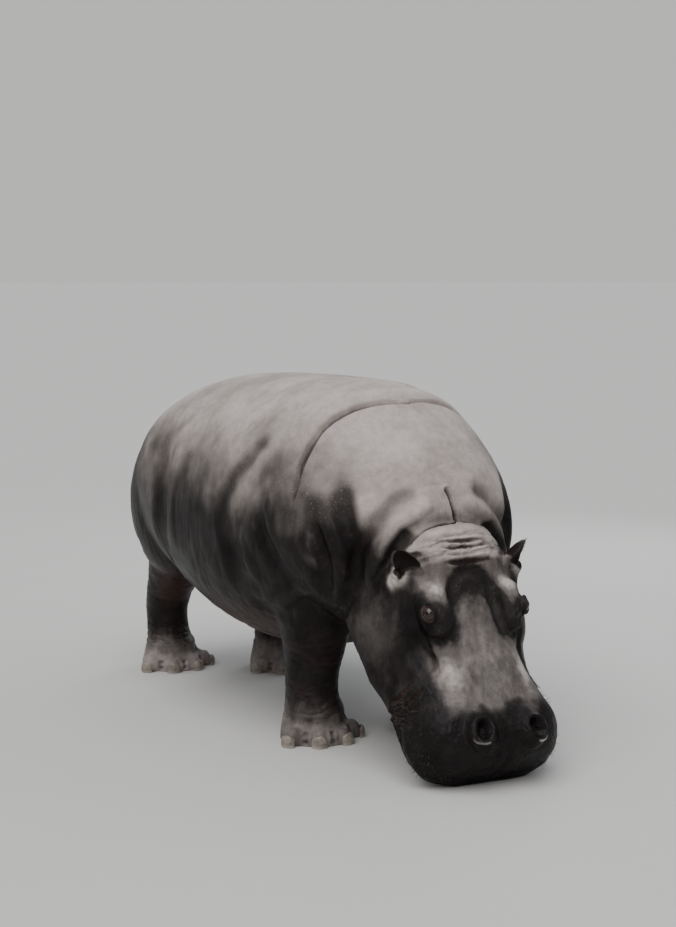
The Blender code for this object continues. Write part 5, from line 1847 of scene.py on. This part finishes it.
@dataclass(frozen=True)
class Tuft:
    """Bristles that grow from one patch of the skin."""

    name: str
    count: int
    length: float
    thick: float
    low: Point          # the patch, as a box in its own axes
    high: Point
    place: Place = Place.HEAD
    lean: Point = (0.0, 0.0, 0.0)      # how they lean, in the body's axes
    mirrored: bool = True


TUFTS = (
    Tuft("upper lip", 110, 0.02, 0.0009, (0.17, 0.62, -0.24), (0.36, 0.9, -0.1),
         lean=(0, -0.2, -0.5)),
    Tuft("mouth corner", 60, 0.034, 0.0012, (0.25, 0.55, -0.24), (0.34, 0.65, -0.12),
         lean=(0, -0.2, -0.6)),
    Tuft("chin", 40, 0.016, 0.0009, (0.02, 0.6, -0.36), (0.28, 0.74, -0.27), lean=(0, 0.8, 0.0)),
    Tuft("tail", 150, 0.04, 0.0012, (0.0, 1.1, 0.61), (0.06, 1.25, 0.76), Place.BODY,
         lean=(0, 0.1, -1.4)),
)
THIRDS = (0, 2.0944, 4.1888)    # a full turn in three


@dataclass
class Bristles:
    """Sparse stiff bristles on the lips, the ears' edges and the tail."""

    axes: HeadAxes
    shift: Vector
    skin: Object
    rings: int = 4
    bury: float = 0.0015    # how far a hair's root lies under the skin
    height: float = 0.7     # the bake map is wound round a level line at this height
    span: float = 3.2       # and this long
    bm: BMesh | None = None
    along: object = None    # layer: how far along its hair a vertex is
    map: object = None      # layer: where the bake map has a corner

    def build(self) -> Object:
        """Grows every tuft as one mesh of thin tapered hairs.

        Returns:
            The bristles.
        """
        random = np.random.default_rng(11)
        faces = self.skin.data.polygons
        middles, normals = (read(faces, what, np.float32, 3) for what in ("center", "normal"))
        q = middles - np.array(self.shift)
        head = self.axes.inside(q)
        self.bm = bmesh.new()
        self.along = self.bm.verts.layers.float.new("along")
        self.map = self.bm.loops.layers.uv.new("OFBake")
        for tuft in TUFTS:
            where = head if tuft.place is Place.HEAD else q
            for side in (1, -1) if tuft.mirrored else (1,):
                spot = where * np.array([side, 1, 1])
                inside = np.all((spot > tuft.low) & (spot < tuft.high), axis=1)
                self.scatter(np.nonzero(inside)[0], tuft, middles, normals, random)
        self.ear_edges(random)
        bmesh.ops.recalc_face_normals(self.bm, faces=self.bm.faces)
        obj = link("bristles", self.bm)
        obj.data.shade_smooth()
        return obj

    def scatter(self, found: np.ndarray, tuft: Tuft, middles: np.ndarray, normals: np.ndarray,
                random: np.random.Generator) -> None:
        """Grows a tuft's bristles from some of the faces found.

        Args:
            found: The faces that lie in the tuft's patch.
            tuft: The tuft.
            middles: The middles of all faces.
            normals: The directions that they face.
            random: Where the random draws come from.
        """
        if not len(found):
            return
        for i in random.choice(found, min(tuft.count, len(found)), replace=False):
            normal = Vector(normals[i])
            wild = Vector(random.normal(0, 0.22, 3))
            self.hair(Vector(middles[i]), (normal + wild).normalized(), Vector(tuft.lean),
                      tuft.length * random.uniform(0.55, 1.15), tuft.thick)

    def ear_edges(self, random: np.random.Generator) -> None:
        """Grows a short fringe on the rim of each ear.

        Args:
            random: Where the random draws come from.
        """
        for side in Side:
            ear = Ear(side, self.axes)
            base, axis, mouth, across = ear.frame()
            base = base + self.shift
            for along, half, cup, _ in catmull(ear.stations, 8):
                if along < 0.03:
                    continue
                for edge in (-1, 1):
                    for _ in range(4):
                        root = base + axis * (along + random.normal(0, 0.001))
                        root += across * (half * 0.96 * edge) + mouth * (cup * 0.46)
                        point = (across * edge + axis * 0.6 + mouth * 0.3
                                 + Vector(random.normal(0, 0.25, 3))).normalized()
                        self.hair(root, point, Vector((0, 0, 0)),
                                  random.uniform(0.008, 0.016), 0.0006)

    def hair(self, root: Vector, point: Vector, lean: Vector, length: float,
             thick: float) -> None:
        """Adds one tapered hair, three-sided, that bends the way it leans.

        Args:
            root: Where it leaves the skin.
            point: The way it points there.
            lean: The way it leans.
            length: Its length.
            thick: Its radius at the root.
        """
        if root.z < 2 * length:
            return
        bm = self.bm
        spine = [root - point * self.bury]
        heading = point.copy()
        for _ in range(self.rings):
            heading = (heading + lean * 0.22).normalized()
            spine.append(spine[-1] + heading * (length / self.rings))
        side = point.orthogonal().normalized()
        other = point.cross(side)
        rings = []
        for k, p in enumerate(spine[:-1]):
            wide = thick * (1 - 0.75 * k / self.rings)
            ring = []
            for a in THIRDS:
                vert = bm.verts.new(p + (side * math.cos(a) + other * math.sin(a)) * wide)
                vert[self.along] = k / self.rings
                ring.append(vert)
            rings.append(ring)
        tip = bm.verts.new(spine[-1])
        tip[self.along] = 1.0
        faces = [bm.faces.new(rings[0])]
        for low, high in zip(rings, rings[1:]):
            for k in range(3):
                n = (k + 1) % 3
                faces.append(bm.faces.new((low[k], low[n], high[n], high[k])))
        for k in range(3):
            faces.append(bm.faces.new((rings[-1][k], rings[-1][(k + 1) % 3], tip)))
        p = root - self.shift
        u = 0.5 + math.atan2(p.x, p.z - self.height) / (2 * math.pi) * 0.98
        v = 0.5 + p.y / self.span
        for facet in faces:
            for loop in facet.loops:
                rise = loop.vert[self.along]
                turn = math.atan2((loop.vert.co - root).dot(other),
                                  (loop.vert.co - root).dot(side))
                loop[self.map].uv = (u + 0.0012 * math.cos(turn), v + 0.003 * rise - 0.0015
                                     + 0.0004 * math.sin(turn))

    def dress(self, obj: Object, finish: Material) -> None:
        """Args:
            obj: The bristles.
            finish: Their material.
        """
        obj.data.materials.append(finish)
        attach(obj, "root")


# -------- the studio

@dataclass
class Camera:
    """The camera, which stands ahead of the animal and to its right."""

    azimuth: float = math.radians(28.9)
    elevation: float = math.radians(9.0)
    distance: float = 8.0
    focal: float = 68.466
    target: Point = (0.0001, 0.259, 0.7)
    turn: tuple[float, float] = (-0.02212, 0.04676)     # aim beside the target, as tangents

    def build(self) -> None:
        """Places the camera and makes it the scene's."""
        flat = math.cos(self.elevation)
        back = Vector((-math.sin(self.azimuth) * flat, -math.cos(self.azimuth) * flat,
                       math.sin(self.elevation)))
        data = bpy.data.cameras.new("camera")
        data.sensor_width = 36
        data.lens = self.focal
        obj = bpy.data.objects.new("camera", data)
        aim = (-back).to_track_quat("-Z", "Y").to_matrix().to_4x4()
        aim = aim @ Matrix.Rotation(math.atan(self.turn[0]), 4, "Y")
        aim = aim @ Matrix.Rotation(math.atan(self.turn[1]), 4, "X")
        obj.matrix_world = Matrix.Translation(Vector(self.target) + back * self.distance) @ aim
        bpy.context.scene.collection.objects.link(obj)
        bpy.context.scene.camera = obj


@dataclass(frozen=True)
class Lamp:
    """One soft light."""

    name: str
    spot: Point
    aim: Point
    size: float
    power: float
    colour: Point = (1.0, 0.98, 0.95)


@dataclass
class Studio:
    """A plain pale floor under soft lights."""

    floor_size: float = 400.0
    floor_colour: Point = (0.5, 0.49, 0.47)
    backdrop: Point = (0.62, 0.62, 0.61)
    zenith: Point = (0.8, 0.83, 0.88)
    horizon: Point = (0.1, 0.1, 0.1)
    sun_from: Point = (-0.42, -0.3, 1.0)
    sun_power: float = 2.6
    sun_width: float = math.radians(55)
    lamps: tuple[Lamp, ...] = (
        Lamp("front", (-4.6, -5.4, 3.4), (0.0, -0.7, 0.7), 1.6, 70.0),
        Lamp("rim", (4.5, 3.5, 3.0), (0.0, 0.0, 0.9), 2.2, 60.0, (0.93, 0.96, 1.0)),
    )

    def build(self) -> None:
        """Lays the floor and hangs the lights."""
        bm = bmesh.new()
        bmesh.ops.create_grid(bm, x_segments=6, y_segments=6, size=self.floor_size / 2)
        floor = link("floor", bm)
        floor.location.z = -0.0005
        material, graph, shader = start_material("floor_paint")
        tint = graph.noise(graph.place(), 1.3, 3.0)
        colour = graph.mix(tint, (*self.floor_colour, 1),
                           (*(c * 0.96 for c in self.floor_colour), 1))
        graph.tree.links.new(colour, shader.inputs["Base Color"])
        shader.inputs["Roughness"].default_value = 0.8
        floor.data.materials.append(material)
        self.hang_sky()
        data = bpy.data.lights.new("sun", "SUN")
        data.energy, data.angle = self.sun_power, self.sun_width
        sun = bpy.data.objects.new("sun", data)
        sun.rotation_mode = "QUATERNION"
        sun.rotation_quaternion = Vector(self.sun_from).to_track_quat("Z", "Y")
        bpy.context.scene.collection.objects.link(sun)
        for lamp in self.lamps:
            data = bpy.data.lights.new(lamp.name, "AREA")
            data.energy, data.size, data.color = lamp.power, lamp.size, lamp.colour
            obj = bpy.data.objects.new(lamp.name, data)
            obj.location = lamp.spot
            obj.rotation_mode = "QUATERNION"
            way = Vector(lamp.aim) - Vector(lamp.spot)
            obj.rotation_quaternion = way.to_track_quat("-Z", "Y")
            bpy.context.scene.collection.objects.link(obj)

    def hang_sky(self) -> None:
        """Makes a sky that is bright overhead and dim at the sides, behind a plain backdrop."""
        world = bpy.data.worlds.new("sky")
        world.use_nodes = True
        graph = Graph(world.node_tree)
        back = world.node_tree.nodes["Background"]
        way = graph.add("ShaderNodeTexCoord").outputs["Generated"]
        rise = graph.add("ShaderNodeSeparateXYZ", None, _0=way).outputs[2]
        light = graph.mix(graph.ramp(rise, 0.0, 0.9), (*self.horizon, 1), (*self.zenith, 1))
        seen = graph.add("ShaderNodeLightPath").outputs["Is Camera Ray"]
        graph.tree.links.new(graph.mix(seen, light, (*self.backdrop, 1)), back.inputs[0])
        bpy.context.scene.world = world


# -------- putting together


def main() -> None:
    """Builds the camera, the skin and the pieces on it, in that order."""
    logging.basicConfig(level=logging.INFO, format="%(name)s: %(message)s")
    Camera().build()
    axes = HeadAxes()
    low, high = (Vector(v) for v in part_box("eye_left"))
    shift = (low + high) / 2 - axes.matrix() @ Vector((0.205, 0.285, 0.024))
    eyes = (EyeFrame.of(Side.RIGHT, axes), EyeFrame.of(Side.LEFT, axes))
    grain, pigment = hide_grain(), mottle()

    skin = Skin(axes, shift, eyes)
    hide = skin.build()
    hide.data.materials.append(HideFinish().build(grain, pigment))
    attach(hide, "root")
    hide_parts(*FLESH)
    LOG.info("skin: %d faces", len(hide.data.polygons))

    eye_finish = EyeFinish().build()
    for eye in eyes:
        ball = Eyeball(eye)
        ball.dress(ball.build(), eye_finish)
    nails = Nails(shift)
    nails.dress(nails.build(), HornFinish().build(pigment))
    bristles = Bristles(axes, shift, hide)
    bristles.dress(bristles.build(), BristleFinish().build())
    Studio().build()


if __name__ == "__main__":
    main()
